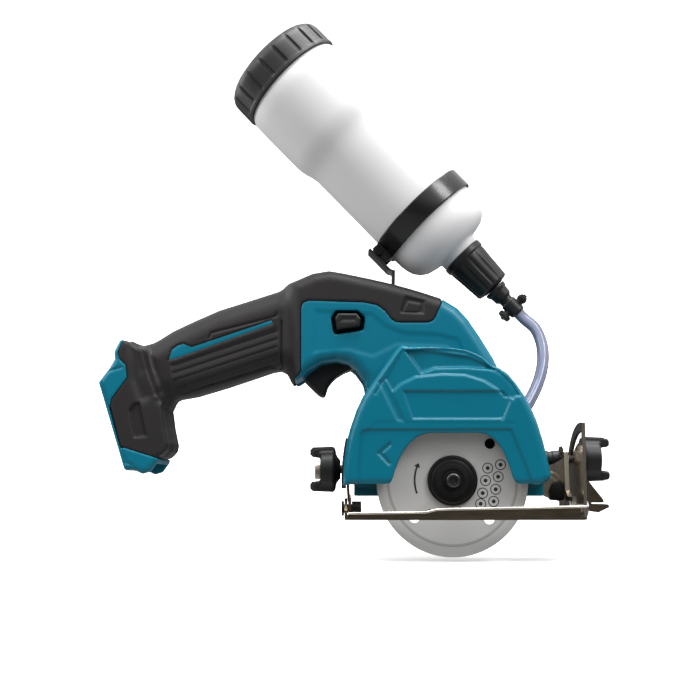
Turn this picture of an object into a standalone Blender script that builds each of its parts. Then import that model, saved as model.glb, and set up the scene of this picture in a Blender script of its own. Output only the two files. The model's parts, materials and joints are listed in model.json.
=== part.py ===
"""Cordless hand-held wet tile saw: separate pieces in one frame, in metres, +Z up.

X points forward along the cut, Y points away from the blade side, Z points up.
The origin lies on the underside of the shoe, below the blade's axis, in the middle of the shoe's width.
Lengths below are millimetres; "depth" d is measured from the middle plane of
the blade towards the motor, so that y = d + BLADE_Y.
"""

import math

import bmesh
import bpy
from mathutils import Matrix, Vector

MM = 0.001

# Driving dimensions
BLADE_Y = -14.0  # middle plane of the blade
BLADE_R, BLADE_T, BORE_R = 42.5, 1.2, 7.5
AXLE_Z = 21.5  # height of the blade's axis over the shoe's underside
MID_D = 38.0  # depth of the plane where the housing halves meet
FLANGE_R = 14.0
MOTOR_X, MOTOR_Z, CAN_R = -6.0, 51.5, 22.5
CASE_R, CASE_END_D, COVER_END_D = 24.8, 127.7, 150.0
PIVOT_X, PIVOT_Z = 52.0, 22.0  # pin that the base frame turns on for depth
GUIDE_R = 110.5  # curved depth guide, about that pin
BEVEL_D, BEVEL_Z = 0.0, 6.0  # axis of the bevel pivot, along X
SECTOR_R = 40.0  # middle of the sector plate's slot, about the bevel axis
KNOB_D, KNOB_Z = 28.0, 34.0  # bevel knob
CLAMP_D, CLAMP_Z = 20.0, 28.0  # depth clamp knob
SHOE_X0, SHOE_X1, SHOE_D0, SHOE_D1, SHOE_T = -58.5, 72.4, -16.0, 44.0, 1.6
TANK_X, TANK_Z, TANK_DOWN = -104.8, 277.7, 46.2  # rim of the cap, and the slope of the bottle's axis in degrees
TANK_R, TANK_WAIST_R = 34.2, 31.0
Z_SPINDLE, Z_IDLER_PINION, M_OUT = 24, 12, 0.9
Z_IDLER, Z_MOTOR, M_IN = 33, 10, 0.7
GAP = 0.3

for ob in list(bpy.data.objects):
    bpy.data.objects.remove(ob, do_unlink=True)


def material(name, rgb, rough, metal=0.0):
    m = bpy.data.materials.new(name)
    m.use_nodes = True
    b = m.node_tree.nodes["Principled BSDF"]
    b.inputs["Base Color"].default_value = (*rgb, 1)
    b.inputs["Roughness"].default_value = rough
    b.inputs["Metallic"].default_value = metal
    return m


TEAL = ((0.0, 0.13, 0.22), 0.38, 0.0)
BLACK = ((0.025, 0.024, 0.024), 0.6, 0.0)
GLOSS = ((0.01, 0.01, 0.01), 0.2, 0.0)
PLATED = ((0.62, 0.5, 0.36), 0.25, 1.0)
STEEL = ((0.4, 0.4, 0.39), 0.35, 1.0)
ALU = ((0.6, 0.61, 0.62), 0.45, 1.0)
COPPER = ((0.6, 0.3, 0.12), 0.4, 1.0)
BOTTLE = ((0.84, 0.84, 0.86), 0.35, 0.0)
HOSE = ((0.55, 0.6, 0.75), 0.2, 0.0)


def point(x, d, z):
    return Vector((x * MM, (d + BLADE_Y) * MM, z * MM))


def finish(name, bm, look, smooth=False, origin=None):
    bmesh.ops.recalc_face_normals(bm, faces=bm.faces)
    me = bpy.data.meshes.new(name)
    bm.to_mesh(me)
    bm.free()
    if smooth:
        me.shade_smooth()
        me.set_sharp_from_angle(angle=math.radians(32))
    ob = bpy.data.objects.new(name, me)
    bpy.context.collection.objects.link(ob)
    if look:
        me.materials.append(material(name, *look))
    else:
        ob.hide_render = True
        ob.display_type = "WIRE"
    if origin:
        at = point(*origin)
        me.transform(Matrix.Translation(-at))
        ob.location = at
    return ob


def rings(name, loops, look, smooth=False, closed=False, origin=None):
    """A solid through loops of the same number of points, with a face over each end, or back to the first loop."""
    bm = bmesh.new()
    made = [[bm.verts.new(p) for p in loop] for loop in loops]
    n = len(loops[0])
    pairs = list(zip(made, made[1:])) + ([(made[-1], made[0])] if closed else [])
    for a, b in pairs:
        for i in range(n):
            j = (i + 1) % n
            bm.faces.new((a[i], a[j], b[j], b[i]))
    if not closed:
        bm.faces.new(made[0][::-1])
        bm.faces.new(made[-1])
    return finish(name, bm, look, smooth, origin)


def plate(name, outline, d0, d1, look, smooth=False, origin=None):
    """An outline in X and Z, through from depth d0 to d1."""
    return rings(name, [[point(x, d, z) for x, z in outline] for d in (d0, d1)], look, smooth, origin=origin)


def plate_x(name, outline, x0, x1, look, smooth=False, origin=None):
    """An outline in depth and Z, through from x0 to x1."""
    return rings(name, [[point(x, d, z) for d, z in outline] for x in (x0, x1)], look, smooth, origin=origin)


def block(name, x0, x1, d0, d1, z0, z1, look=None):
    return plate(name, [(x0, z0), (x1, z0), (x1, z1), (x0, z1)], d0, d1, look)


def turned(name, profile, at, axis, look, n=24, origin=None, phase=0.0):
    """A profile of (radius, height) turned about an axis; it is a ring unless it starts and ends at radius 0."""
    w = Vector(axis).normalized()
    e = w.orthogonal().normalized() if abs(w.y) < 0.99 else Vector((1, 0, 0))
    f = w.cross(e)
    c = point(*at)
    bm = bmesh.new()
    loops = []
    for r, h in profile:
        if r < 1e-6:
            loops.append([bm.verts.new(c + w * h * MM)])
        else:
            loops.append(
                [
                    bm.verts.new(
                        c + w * h * MM + (e * math.cos(t) + f * math.sin(t)) * r * MM
                    )
                    for t in (2 * math.pi * i / n + phase for i in range(n))
                ]
            )
    whole = len(loops[0]) == 1 and len(loops[-1]) == 1
    pairs = list(zip(loops, loops[1:])) + ([] if whole else [(loops[-1], loops[0])])
    for a, b in pairs:
        for i in range(n):
            j = (i + 1) % n
            if len(a) == 1 and len(b) == 1:
                continue
            if len(a) == 1:
                bm.faces.new((a[0], b[j], b[i]))
            elif len(b) == 1:
                bm.faces.new((a[i], a[j], b[0]))
            else:
                bm.faces.new((a[i], a[j], b[j], b[i]))
    return finish(name, bm, look, True, origin)


def rod(name, r, h0, h1, at, axis, look=None, n=20, origin=None):
    return turned(name, [(0, h0), (r, h0), (r, h1), (0, h1)], at, axis, look, n, origin)


def tube(name, r0, r1, h0, h1, at, axis, look, n=28, origin=None):
    return turned(name, [(r1, h0), (r1, h1), (r0, h1), (r0, h0)], at, axis, look, n, origin)


def around(r, n, gap=0.05):
    """Corner radius of an n-sided hole that stays clear of a shaft of radius r."""
    return (r + gap) / math.cos(math.pi / n)


def cut(ob, tool, how="DIFFERENCE"):
    m = ob.modifiers.new(how.title() + tool.name, "BOOLEAN")
    m.operation = how
    m.solver = "EXACT"
    m.object = tool
    return ob


def join(ob, tool):
    return cut(ob, tool, "UNION")


def inset(outline, by):
    """The outline moved inwards, corner by corner."""
    n = len(outline)
    area = sum(
        outline[i][0] * outline[(i + 1) % n][1] - outline[(i + 1) % n][0] * outline[i][1] for i in range(n)
    )
    turn = 1 if area > 0 else -1
    out = []
    for i in range(n):
        a, b, c = Vector(outline[i - 1]), Vector(outline[i]), Vector(outline[(i + 1) % n])
        u, v = (b - a).normalized(), (c - b).normalized()
        nu, nv = Vector((-u.y, u.x)) * turn, Vector((-v.y, v.x)) * turn
        m = (nu + nv).normalized()
        out.append(tuple(b + m * by / max(0.6, m.dot(nu))))
    return out


def arc(cx, cz, r, a0, a1, n):
    return [
        (cx + r * math.cos(math.radians(a0 + (a1 - a0) * i / n)), cz + r * math.sin(math.radians(a0 + (a1 - a0) * i / n)))
        for i in range(n + 1)
    ]


def gear(name, teeth, module, at, d0, d1, towards, gap, bore, look, tip=0.8, root=1.15, origin=None):
    """A spur gear about Y with a tooth (or, where gap is true, a space) at the angle towards, and a round bore."""
    rp = teeth * module / 2
    rb = rp * math.cos(math.radians(20))

    def half(r):
        al = math.acos(min(1, rb / r))
        inv20 = math.tan(math.radians(20)) - math.radians(20)
        return math.pi / (2 * teeth) + inv20 - (math.tan(al) - al) - 0.07 / rp

    radii = [rp - root * module, rp, rp + tip * module]
    start = towards + (math.pi / teeth if gap else 0)
    outer = []
    for k in range(teeth):
        mid = start + 2 * math.pi * k / teeth
        for r in radii:
            outer.append((r, mid - half(max(r, rb))))
        for r in radii[::-1]:
            outer.append((r, mid + half(max(r, rb))))
    cx, cz = at
    ob = plate(name, [(cx + r * math.cos(t), cz + r * math.sin(t)) for r, t in outer], d0, d1, look, origin=origin)
    if bore:
        cut(ob, rod(name + "_bore", around(bore, 20, 0.1), d0 - 2, d1 + 2, (cx, 0, cz), (0, 1, 0), n=20))
    return ob


# --- Housing halves -------------------------------------------------------------------------------------
BODY = [
    (-170.0, 104.0), (-162.9, 109.6), (-149.1, 116.2), (-135.4, 122.3), (-112.3, 129.7), (-99.6, 133.8),
    (-90.6, 137.6), (-79.0, 142.2), (-69.4, 144.0), (-61.0, 142.6), (-46.0, 139.4), (-31.7, 136.1),
    (-17.9, 132.2), (-2.0, 127.0), (6.0, 122.0), (12.0, 115.4), (19.2, 104.5), (26.4, 92.7), (31.0, 82.0),
    (31.5, 68.0), (29.0, 56.0), (24.5, 45.0), (16.5, 35.5), (5.0, 28.0), (-17.0, 27.5), (-28.0, 34.0),
    (-37.0, 44.0), (-43.5, 56.0), (-47.4, 67.0), (-48.4, 77.0), (-51.8, 85.0), (-56.4, 89.6), (-63.3, 92.4),
    (-71.0, 91.6), (-78.7, 88.0), (-85.9, 83.0), (-90.8, 83.8), (-94.8, 86.2), (-99.1, 87.4), (-104.0, 86.4),
    (-116.5, 81.9), (-130.2, 77.3), (-148.4, 71.8), (-159.0, 69.0), (-163.6, 80.0), (-167.0, 92.0),
]


TOP = [p for p in BODY if p[0] < -87.0 and p[1] > 103.0]
UNDER = [p for p in BODY if p[0] < -90.0 and p[1] < 103.0]
HANDLE = [(-78.0, 139.0), (-78.0, 91.5), (-84.0, 86.8)] + UNDER + TOP
FRONT = [(-87.0, 95.0), (-87.0, 136.8)] + [p for p in BODY if p[0] > -86.0][:-1] + [(-81.0, 89.6)]
HANDLE_W, FRONT_W = 16.5, 24.5  # half the widths of the handle and the body


def half_width(x):
    return FRONT_W if x > -87 else HANDLE_W


def side(outline, steps, sign, width, thin=0.0):
    """Loops from the middle plane outwards: each step is (inset, share of the half width)."""
    return [[point(x, MID_D + sign * (width - thin) * share, z) for x, z in inset(outline, by + thin)] for by, share in steps]


SKIN = [(0, 0.35), (0.8, 0.7), (2.3, 0.9), (4.6, 1.0)]
GEAR_CASE = (
    arc(0, AXLE_Z, 14.5, 212, 330, 8)
    + [(46.0, 15.0)] + arc(PIVOT_X, PIVOT_Z, 6.6, -80, 90, 8) + [(30.0, 34.0), (22.0, 40.0)]
    + arc(MOTOR_X, MOTOR_Z, 25.0, 0, 195, 14)
)


def loose(outline, by):
    return inset(outline, -by)


def half_shell(name, outline, width, sign, look):
    first = [point(x, MID_D + sign * 0.15, z) for x, z in outline]
    return rings(name, [first] + side(outline, SKIN, sign, width), look, True)


def room(name, outline, width, sign):
    ends = sorted((MID_D - sign, MID_D + sign * (width - 2.6)))
    return plate(name, inset(outline, 2.5), *ends, None)


def housing(name, sign):
    ob = half_shell(name, FRONT, FRONT_W, sign, TEAL)
    join(ob, half_shell(name + "_handle", HANDLE, HANDLE_W, sign, None))
    cut(ob, room(name + "_room", FRONT, FRONT_W, sign))
    cut(ob, room(name + "_handle_room", HANDLE, HANDLE_W, sign))
    return ob


right = housing("housing_right", -1)
left = housing("housing_left", 1)

SCREWS = [(-150.0, 95.0), (-101.0, 112.0), (9.0, 104.0)]
for k, (sx, sz) in enumerate(SCREWS):
    w = half_width(sx)
    for half, sign in ((left, 1), (right, -1)):
        side_name = "l" if sign > 0 else "r"
        join(half, rod(f"boss_{side_name}{k}", 3.8, 0.6, w - 1.2, (sx, MID_D, sz), (0, sign, 0), n=14))
    cut(left, turned(f"hole_l{k}", [(0, -2), (1.9, -2), (1.9, w - 4.6), (3.5, w - 4.6), (3.5, w + 4), (0, w + 4)], (sx, MID_D, sz), (0, 1, 0), None, 12, phase=0.11))
    cut(right, rod(f"hole_r{k}", 1.7, -2, w - 6.5, (sx, MID_D, sz), (0, -1, 0), n=12))
    turned(
        f"housing_screw_{k + 1}",
        [(0, w - 2.2), (2.9, w - 2.2), (2.9, w - 4.2), (1.5, w - 4.2), (1.5, -w + 8), (0, -w + 8)],
        (sx, MID_D, sz), (0, 1, 0), STEEL, 16,
    )

# the gear case and the motor pass through the blade side and the far side
gear_way = plate("gear_way", loose(GEAR_CASE, 0.7), 2, MID_D + 2, None)
cut(right, gear_way)
motor_way = rod("motor_way", CAN_R + 1.4, -3, 60, (MOTOR_X, MID_D, MOTOR_Z), (0, 1, 0), n=28)
cut(left, motor_way)

# slot for the trigger, opening for the lock-off button and slot for the tank's stay
trigger_way = plate("trigger_way", [(-88.5, 70), (-49.5, 70), (-49.5, 99), (-88.5, 99)], MID_D - 7.4, MID_D + 7.4, None)
cut(right, trigger_way)
cut(left, trigger_way)
LOCK = [(-66.4, 115.6), (-65.0, 118.2), (-53.2, 118.2), (-50.8, 115.4), (-51.4, 110.6), (-53.4, 109.0), (-63.8, 108.2), (-65.8, 110.0)]
cut(right, plate("lock_way", loose(LOCK, 0.4), 5, 30, None))
stay_way = plate("stay_way", [(-33.6, 118), (-29.6, 118), (-29.6, 150), (-33.6, 150)], MID_D - 8.6, MID_D + 8.6, None)
cut(right, stay_way)
cut(left, stay_way)
guide_way = plate("guide_way", arc(PIVOT_X, PIVOT_Z, 112.4, 140, 190, 14) + arc(PIVOT_X, PIVOT_Z, 108.4, 190, 140, 14), 11.8, 28.2, None)
cut(right, guide_way)

# --- Rubber grips, each in its own place on the outside of a half -----------------------------------------
GRIP = [(-158.0, 96.0), (-150.0, 106.0), (-136.0, 113.0), (-112.0, 121.0), (-98.0, 124.0), (-98.0, 97.0), (-112.0, 91.5), (-132.0, 85.5), (-150.0, 81.0), (-156.0, 84.0)]
for name, sign, half in (("grip_right", -1, right), ("grip_left", 1, left)):
    face = MID_D + sign * 17.4
    cut(half, plate(name + "_seat", loose(GRIP, GAP), MID_D + sign * 14.9, MID_D + sign * 30, None))
    grip = rings(
        name,
        [
            [point(x, MID_D + sign * 15.2, z) for x, z in GRIP],
            [point(x, face - sign * 0.5, z) for x, z in GRIP],
            [point(x, face, z) for x, z in inset(GRIP, 1.2)],
        ],
        BLACK,
    )

# --- Battery foot -----------------------------------------------------------------------------------------
FOOT_REAR = [
    (-176.6, 101.8), (-181.6, 101.1), (-184.9, 103.3), (-188.5, 105.1), (-191.8, 105.5), (-195.4, 103.3), (-197.6, 97.6),
    (-197.1, 93.4), (-198.8, 90.2), (-205.9, 81.0), (-198.5, 58.9), (-191.1, 36.2), (-188.7, 28.9), (-186.9, 27.0),
    (-181.4, 28.5), (-180.0, 26.2), (-175.9, 25.1), (-171.8, 26.2), (-169.2, 29.9), (-167.4, 33.6), (-182.5, 37.8),
    (-191.0, 62.0), (-197.0, 76.0), (-190.0, 84.0), (-188.6, 94.0), (-183.0, 97.6),
]
FOOT_FRONT = [
    (-170.6, 103.6), (-175.8, 101.4), (-182.6, 97.2), (-188.2, 93.7), (-189.6, 83.8), (-196.4, 76.0), (-190.5, 62.2),
    (-182.2, 38.4), (-165.4, 34.0), (-161.1, 37.5), (-160.3, 41.6), (-161.8, 51.6), (-164.8, 62.6), (-163.6, 68.0),
    (-162.0, 68.4), (-164.2, 80.0), (-167.6, 92.0),
]


def foot(name, outline, look):
    w = 25.0
    shell = [(4.0, -w), (1.4, -w + 1.2), (0.0, -w + 4.5), (0.0, w - 4.5), (1.4, w - 1.2), (4.0, w)]
    lim = 1.0 if name == "foot_cover" else 1.0
    loops = [[point(x, MID_D + d, z) for x, z in inset(outline, by * 0.45 * lim)] for by, d in shell]
    return rings(name, loops, look, True)


foot_cover = foot("foot_cover", FOOT_REAR, TEAL)
foot_block = foot("foot_block", FOOT_FRONT, BLACK)
# the battery slides up into a slot behind the front wall, open below
SLOT_UP = Vector((-0.309, 0.951))  # up along the foot in X and Z
SLOT_ACROSS = Vector((0.951, 0.309))


def in_foot(up, across):
    p = Vector((-176.2, 30.0)) + SLOT_UP * up + SLOT_ACROSS * across
    return (p.x, p.y)


slot = plate("battery_way", [in_foot(-12, -7), in_foot(-12, 7), in_foot(50, 7), in_foot(50, -7)], MID_D - 20, MID_D + 20, None)
cut(foot_cover, slot)
cut(foot_block, slot)
terminals = plate("terminal_block", [in_foot(40.5, -6.5), in_foot(40.5, 6.5), in_foot(49.7, 6.5), in_foot(49.7, -6.5)], MID_D - 15, MID_D + 15, BLACK)
for k in (-1, 0, 1):
    blade = plate(f"contact_{k}", [in_foot(28, -3), in_foot(28, 3), in_foot(42, 3), in_foot(42, -3)], MID_D + 8 * k - 0.5, MID_D + 8 * k + 0.5, None)
    join(terminals, blade)

# --- Gear case, cover and bearings --------------------------------------------------------------------------
S = (0.0, AXLE_Z)
M = (MOTOR_X, MOTOR_Z)
A_OUT = (Z_SPINDLE + Z_IDLER_PINION) * M_OUT / 2 + 0.05
A_IN = (Z_IDLER + Z_MOTOR) * M_IN / 2 + 0.05
sm = Vector((M[0] - S[0], M[1] - S[1]))
dist = sm.length
a = (A_OUT**2 - A_IN**2 + dist**2) / (2 * dist)
h = math.sqrt(max(0, A_OUT**2 - a * a))
u = sm.normalized()
IDLER = (S[0] + u.x * a + u.y * h, S[1] + u.y * a - u.x * h)
ang = lambda p, q: math.atan2(q[1] - p[1], q[0] - p[0])

case = plate("gear_case", GEAR_CASE, 10.3, 33.7, ALU, False)
GEAR_ROOM = arc(0, AXLE_Z, 12.6, 200, 345, 8) + arc(MOTOR_X + 1, MOTOR_Z - 4, 18.5, 0, 185, 12)
cut(case, plate("gear_room", GEAR_ROOM, 18.4, 40, None))
cut(case, turned("front_seat", [(0, 5), (6.0, 5), (6.0, 12.6), (8.05, 12.6), (8.05, 21), (0, 21)], (0, 0, AXLE_Z), (0, 1, 0), None, 24, phase=0.07))
cut(case, rod("idler_seat", around(2.5, 20), 13, 20, (IDLER[0], 0, IDLER[1]), (0, 1, 0), n=20))
# the case's ear is narrower than the case, so that the base frame's cheeks fit beside it
cut(case, block("ear_a", 33.0, 70, 5, 20.2, -20, 60))
cut(case, block("ear_b", 33.0, 70, 28.8, 50, -20, 60))
cut(case, rod("pin_way", around(3.0, 20, 0.3), 0, 60, (PIVOT_X, 0, PIVOT_Z), (0, 1, 0), n=20))
# window for the shaft lock's pin, from behind
LOCK_PIN = (S[0] + 7.6 * math.cos(math.radians(-35)), S[1] + 7.6 * math.sin(math.radians(-35)))

cover_line = arc(0, AXLE_Z, 14.5, 212, 330, 8) + [(20.0, 34.0)] + arc(MOTOR_X, MOTOR_Z, 25.0, 0, 195, 14)
cut(left, plate("cover_way", loose(cover_line, 0.6), 30, 40.5, None))
gcover = plate("gear_cover", cover_line, 34.0, 39.7, ALU)
cut(gcover, rod("rear_seat", 5.55, 33, 38.4, (0, 0, AXLE_Z), (0, 1, 0), n=24))
cut(gcover, turned("motor_seat", [(0, 33), (6.55, 33), (6.55, 38.4), (3.5, 38.4), (3.5, 45), (0, 45)], (MOTOR_X, 0, MOTOR_Z), (0, 1, 0), None, 24))
cut(gcover, rod("idler_seat2", around(2.5, 20), 33, 37.5, (IDLER[0], 0, IDLER[1]), (0, 1, 0), n=20))
cut(gcover, rod("lock_way2", around(1.4, 16, 0.1), 30, 50, (LOCK_PIN[0], 0, LOCK_PIN[1]), (0, 1, 0), n=16))

tube("spindle_bearing_front", around(4.0, 16), 7.9, 12.9, 17.9, (0, 0, AXLE_Z), (0, 1, 0), STEEL, 16)
tube("spindle_bearing_rear", around(3.5, 16), 5.4, 34.3, 38.1, (0, 0, AXLE_Z), (0, 1, 0), STEEL, 16)
tube("motor_bearing_front", around(2.0, 16), 6.4, 34.3, 38.1, (MOTOR_X, 0, MOTOR_Z), (0, 1, 0), STEEL, 16)
tube("motor_bearing_rear", around(2.0, 16), 6.4, 117.0, 121.0, (MOTOR_X, 0, MOTOR_Z), (0, 1, 0), STEEL, 16)

# --- Spindle, gears and blade -------------------------------------------------------------------------------
AX = (0.0, 0.0, AXLE_Z)
turned(
    "spindle",
    [(0, 14.0), (2.9, 14.0), (2.9, -0.6), (4.0, -0.6), (4.0, 27.2), (3.5, 27.2), (3.5, 38.0), (0, 38.0)],
    AX, (0, 1, 0), STEEL, 16, AX,
)
sgear = gear("spindle_gear", Z_SPINDLE, M_OUT, S, 19.0, 26.5, ang(S, IDLER), False, 4.0, STEEL, origin=AX)
# the shaft lock's pin drops into one of the holes round the gear
for k in range(4):
    t = math.radians(-35 + 90 * k)
    cut(sgear, rod(f"lock_hole_{k}", 1.6, 22.5, 30, (7.6 * math.cos(t), 0, AXLE_Z + 7.6 * math.sin(t)), (0, 1, 0), n=12))
turned(
    "inner_flange",
    [(around(4.0, 20, 0.1), -0.5), (7.35, -0.5), (7.35, 1.0), (FLANGE_R, 1.0), (FLANGE_R, 2.6), (10.0, 4.2), (6.4, 4.8), (6.4, 9.6), (around(4.0, 20, 0.1), 9.6)],
    AX, (0, 1, 0), STEEL, 20, AX,
)
disc = turned("blade", [(BORE_R, -BLADE_T / 2), (BLADE_R - 7, -BLADE_T / 2), (BLADE_R - 6, -0.8), (BLADE_R, -0.8), (BLADE_R, 0.8), (BLADE_R - 6, 0.8), (BLADE_R - 7, BLADE_T / 2), (BORE_R, BLADE_T / 2)], AX, (0, 1, 0), STEEL, 44, AX)
for k in range(3):
    t = math.radians(44 + 90 * (k if k < 1 else k + 1))
    cut(disc, rod(f"blade_hole_{k}", 2.95, -3, 3, (29.6 * math.cos(t), 0, AXLE_Z + 29.6 * math.sin(t)), (0, 1, 0), n=14))
turned(
    "outer_flange",
    [(3.0, -1.1), (FLANGE_R, -1.1), (FLANGE_R, -2.4), (12.6, -3.2), (10.2, -3.4), (9.6, -4.6), (6.2, -4.8), (3.0, -4.8)],
    AX, (0, 1, 0), GLOSS, 20, AX,
)
bolt = turned("blade_bolt", [(0, -9.0), (3.8, -9.0), (4.35, -8.4), (4.35, -5.1), (2.6, -5.1), (2.6, 12.0), (0, 12.0)], AX, (0, 1, 0), STEEL, 16, AX)
cut(bolt, rod("hex_way", 2.5, -12, -6.2, AX, (0, 1, 0), n=6))

# --- Idler ----------------------------------------------------------------------------------------------------
IAX = (IDLER[0], 0.0, IDLER[1])
pinion = gear("idler_pinion", Z_IDLER_PINION, M_OUT, IDLER, 19.0, 26.7, ang(IDLER, S), True, 0, STEEL, origin=IAX)
join(pinion, rod("idler_shaft", 2.5, 13.4, 37.0, IAX, (0, 1, 0), n=20))
gear("idler_gear", Z_IDLER, M_IN, IDLER, 28.0, 33.0, ang(IDLER, M), False, 2.5, STEEL, origin=IAX)

# --- Motor ----------------------------------------------------------------------------------------------------
MAX = (MOTOR_X, 0.0, MOTOR_Z)
rod("motor_shaft", 2.0, 27.5, 122.5, MAX, (0, 1, 0), STEEL, 20, MAX)
gear("motor_pinion", Z_MOTOR, M_IN, M, 27.8, 33.4, ang(M, IDLER), True, 2.0, STEEL, origin=MAX)
slots = []
for k in range(7):
    for a0, r in ((-21, 15.4), (-7, 15.5), (7, 15.5), (21, 15.4), (22.5, 13.6), (23.5, 8.5), (27.9, 8.5), (28.9, 13.6)):
        slots.append((r, math.radians(a0 + 360 / 7 * k)))
core = plate("armature", [(MOTOR_X + r * math.cos(t), MOTOR_Z + r * math.sin(t)) for r, t in slots], 47.0, 86.0, STEEL, origin=MAX)
cut(core, rod("core_way", around(2.0, 20, 0.06), 40, 90, MAX, (0, 1, 0), n=20))
for name, d0, d1 in (("windings_front", 42.6, 48.0), ("windings_rear", 85.0, 91.0)):
    join(core, tube(name, 6.0, 12.0, d0, d1, MAX, (0, 1, 0), None, 16))
tube("commutator", around(2.0, 16, 0.06), 8.5, 91.4, 101.0, MAX, (0, 1, 0), COPPER, 16, MAX)
fan = tube("fan", around(2.0, 20, 0.06), 20.0, 104.0, 105.5, MAX, (0, 1, 0), BLACK, 20, MAX)
for k in range(7):
    t = 2 * math.pi * k / 7
    c, s = math.cos(t), math.sin(t)
    line = [(6, -0.6), (19, -0.6), (19, 0.6), (6, 0.6)]
    join(fan, plate(f"fan_blade_{k}", [(MOTOR_X + r * c - w * s, MOTOR_Z + r * s + w * c) for r, w in line], 104.8, 112.0, None))
tube("stator", 16.4, CAN_R, 41.0, 100.0, MAX, (0, 1, 0), STEEL, 28)
# the brushes stand in the ring that holds them, on either side of the commutator
brushes = tube("brush_gear", 15.6, CAN_R, 100.3, 102.8, MAX, (0, 1, 0), BLACK, 28)
for k, t in enumerate((0, math.pi)):
    c, s = math.cos(t), math.sin(t)
    arm_line = [(MOTOR_X + r * c - w * s, MOTOR_Z + r * s + w * c) for r, w in ((8.9, -2.5), (16.0, -2.5), (16.0, 2.5), (8.9, 2.5))]
    join(brushes, plate(f"brush_{k}", arm_line, 94.0, 102.0, None))

mcase = tube("motor_case", CAN_R + 0.4, CASE_R, 63.0, CASE_END_D, MAX, (0, 1, 0), TEAL, 28)
for k in range(8):
    t = math.radians(20 + 45 * k)
    c, s = math.cos(t), math.sin(t)
    line = [(18, -4.0), (30, -4.0), (30, 4.0), (18, 4.0)]
    cut(mcase, plate(f"vent_{k}", [(MOTOR_X + r * c - w * s, MOTOR_Z + r * s + w * c) for r, w in line], 105.0, 111.5, None))
end = turned(
    "motor_end_cover",
    [(0, COVER_END_D), (12.0, COVER_END_D), (19.0, 148.6), (23.4, 145.2), (CASE_R, 140.0), (CASE_R, 128.0), (CASE_R - 2, 128.0),
     (CASE_R - 2, 139.0), (20.5, 144.0), (17.5, 146.0), (10.5, 147.0), (10.5, 124.0), (8.2, 121.4), (8.2, 116.6), (6.56, 116.6), (6.56, 121.3), (4.0, 123.0), (0, 123.0)],
    MAX, (0, 1, 0), TEAL, 20,
)
for k in range(6):
    t = math.radians(60 * k)
    c, s = math.cos(t), math.sin(t)
    line = [(13.2, -2.4), (18.6, -2.4), (18.6, 2.4), (13.2, 2.4)]
    cut(end, plate(f"end_vent_{k}", [(MOTOR_X + r * c - w * s, MOTOR_Z + r * s + w * c) for r, w in line], 140.0, 155.0, None))

# --- Blade case -------------------------------------------------------------------------------------------------
CASE = [
    (-61.2, 18.4), (-61.2, 24.0), (-60.7, 31.0), (-59.9, 38.0), (-58.8, 44.5), (-57.2, 50.5), (-53.7, 60.5), (-50.2, 68.0), (-46.5, 73.5),
    (-39.4, 83.6), (-33.0, 92.6), (-30.4, 95.6), (-27.6, 97.0), (-24.6, 97.2), (-12.0, 97.0), (0.7, 96.0), (8.0, 94.6), (14.0, 91.6),
    (19.0, 87.4), (24.4, 84.4), (30.0, 80.8), (35.8, 74.8), (41.1, 65.7), (44.4, 59.9), (47.1, 54.0), (50.4, 41.1), (53.3, 28.5), (54.3, 23.2), (48.6, 18.4),
]
WINDOW = [
    (35.8, 10.0), (35.8, 18.2), (33.4, 19.3), (32.2, 21.4), (30.6, 26.3), (29.2, 30.8), (27.6, 34.7), (25.7, 38.2), (23.4, 41.0), (20.5, 43.8), (17.1, 45.8),
    (14.0, 46.8), (10.8, 47.1), (-13.0, 46.8), (-16.8, 46.3), (-20.2, 45.0), (-23.1, 43.2), (-26.8, 39.3), (-29.5, 34.7), (-31.8, 29.6), (-33.2, 25.2), (-33.6, 21.8), (-34.4, 19.6), (-36.4, 18.4), (-36.4, 10.0),
]
CASE_SIDES = [(5.0, -11.0), (2.2, -10.2), (0.6, -8.6), (0.0, -6.4), (0.0, 10.0)]
guard = rings("blade_case", [[point(x, d, z) for x, z in inset(CASE, by)] for by, d in CASE_SIDES], TEAL, True)
# the far wall reaches lower than the near one
join(guard, block("far_wall", -55.4, 52.4, 7.9, 10.0, 12.8, 24.0))
ROOM = arc(0, AXLE_Z, 45.6, -20, 200, 22) + [(-45.6, -5.0), (45.6, -5.0)]
room_low = [(-59.4, -5.0), (51.4, -5.0), (51.0, 25.0), (48.0, 41.0), (30.0, 60.0), (-30.0, 60.0), (-55.6, 48.0), (-58.4, 36.0), (-59.4, 24.0)]
cut(guard, plate("blade_room", ROOM, -8.4, 7.8, None))
cut(guard, plate("low_room", room_low, -8.4, 7.8, None))
cut(guard, plate("upper_room", [(-44.0, 71.6), (-28.6, 93.6), (-12.0, 94.2), (6.0, 92.0), (20.0, 83.0), (32.0, 74.0), (36.5, 66.5), (24.0, 64.0), (14.0, 68.0), (0.0, 69.5), (-14.0, 68.0), (-26.0, 64.5), (-38.0, 64.5)], -8.2, 13.0, None))
cut(guard, plate("window", WINDOW, -14.0, -7.0, None))
# the guide's foot rises through the far wall's rear corner at full depth
cut(guard, block("foot_way", -59.4, -55.0, 7.0, 12.0, -5.0, 25.5))
cut(guard, rod("spindle_way", 15.0, 5, 13, AX, (0, 1, 0), n=32))

# --- Depth guide bracket on the case, and the water nozzle ----------------------------------------------------------
def swept(r0, r1, a0, a1, n=10):
    """Part of a ring about the depth pin, between two angles in degrees."""
    return arc(PIVOT_X, PIVOT_Z, r1, a0, a1, n) + arc(PIVOT_X, PIVOT_Z, r0, a1, a0, n)


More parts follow.
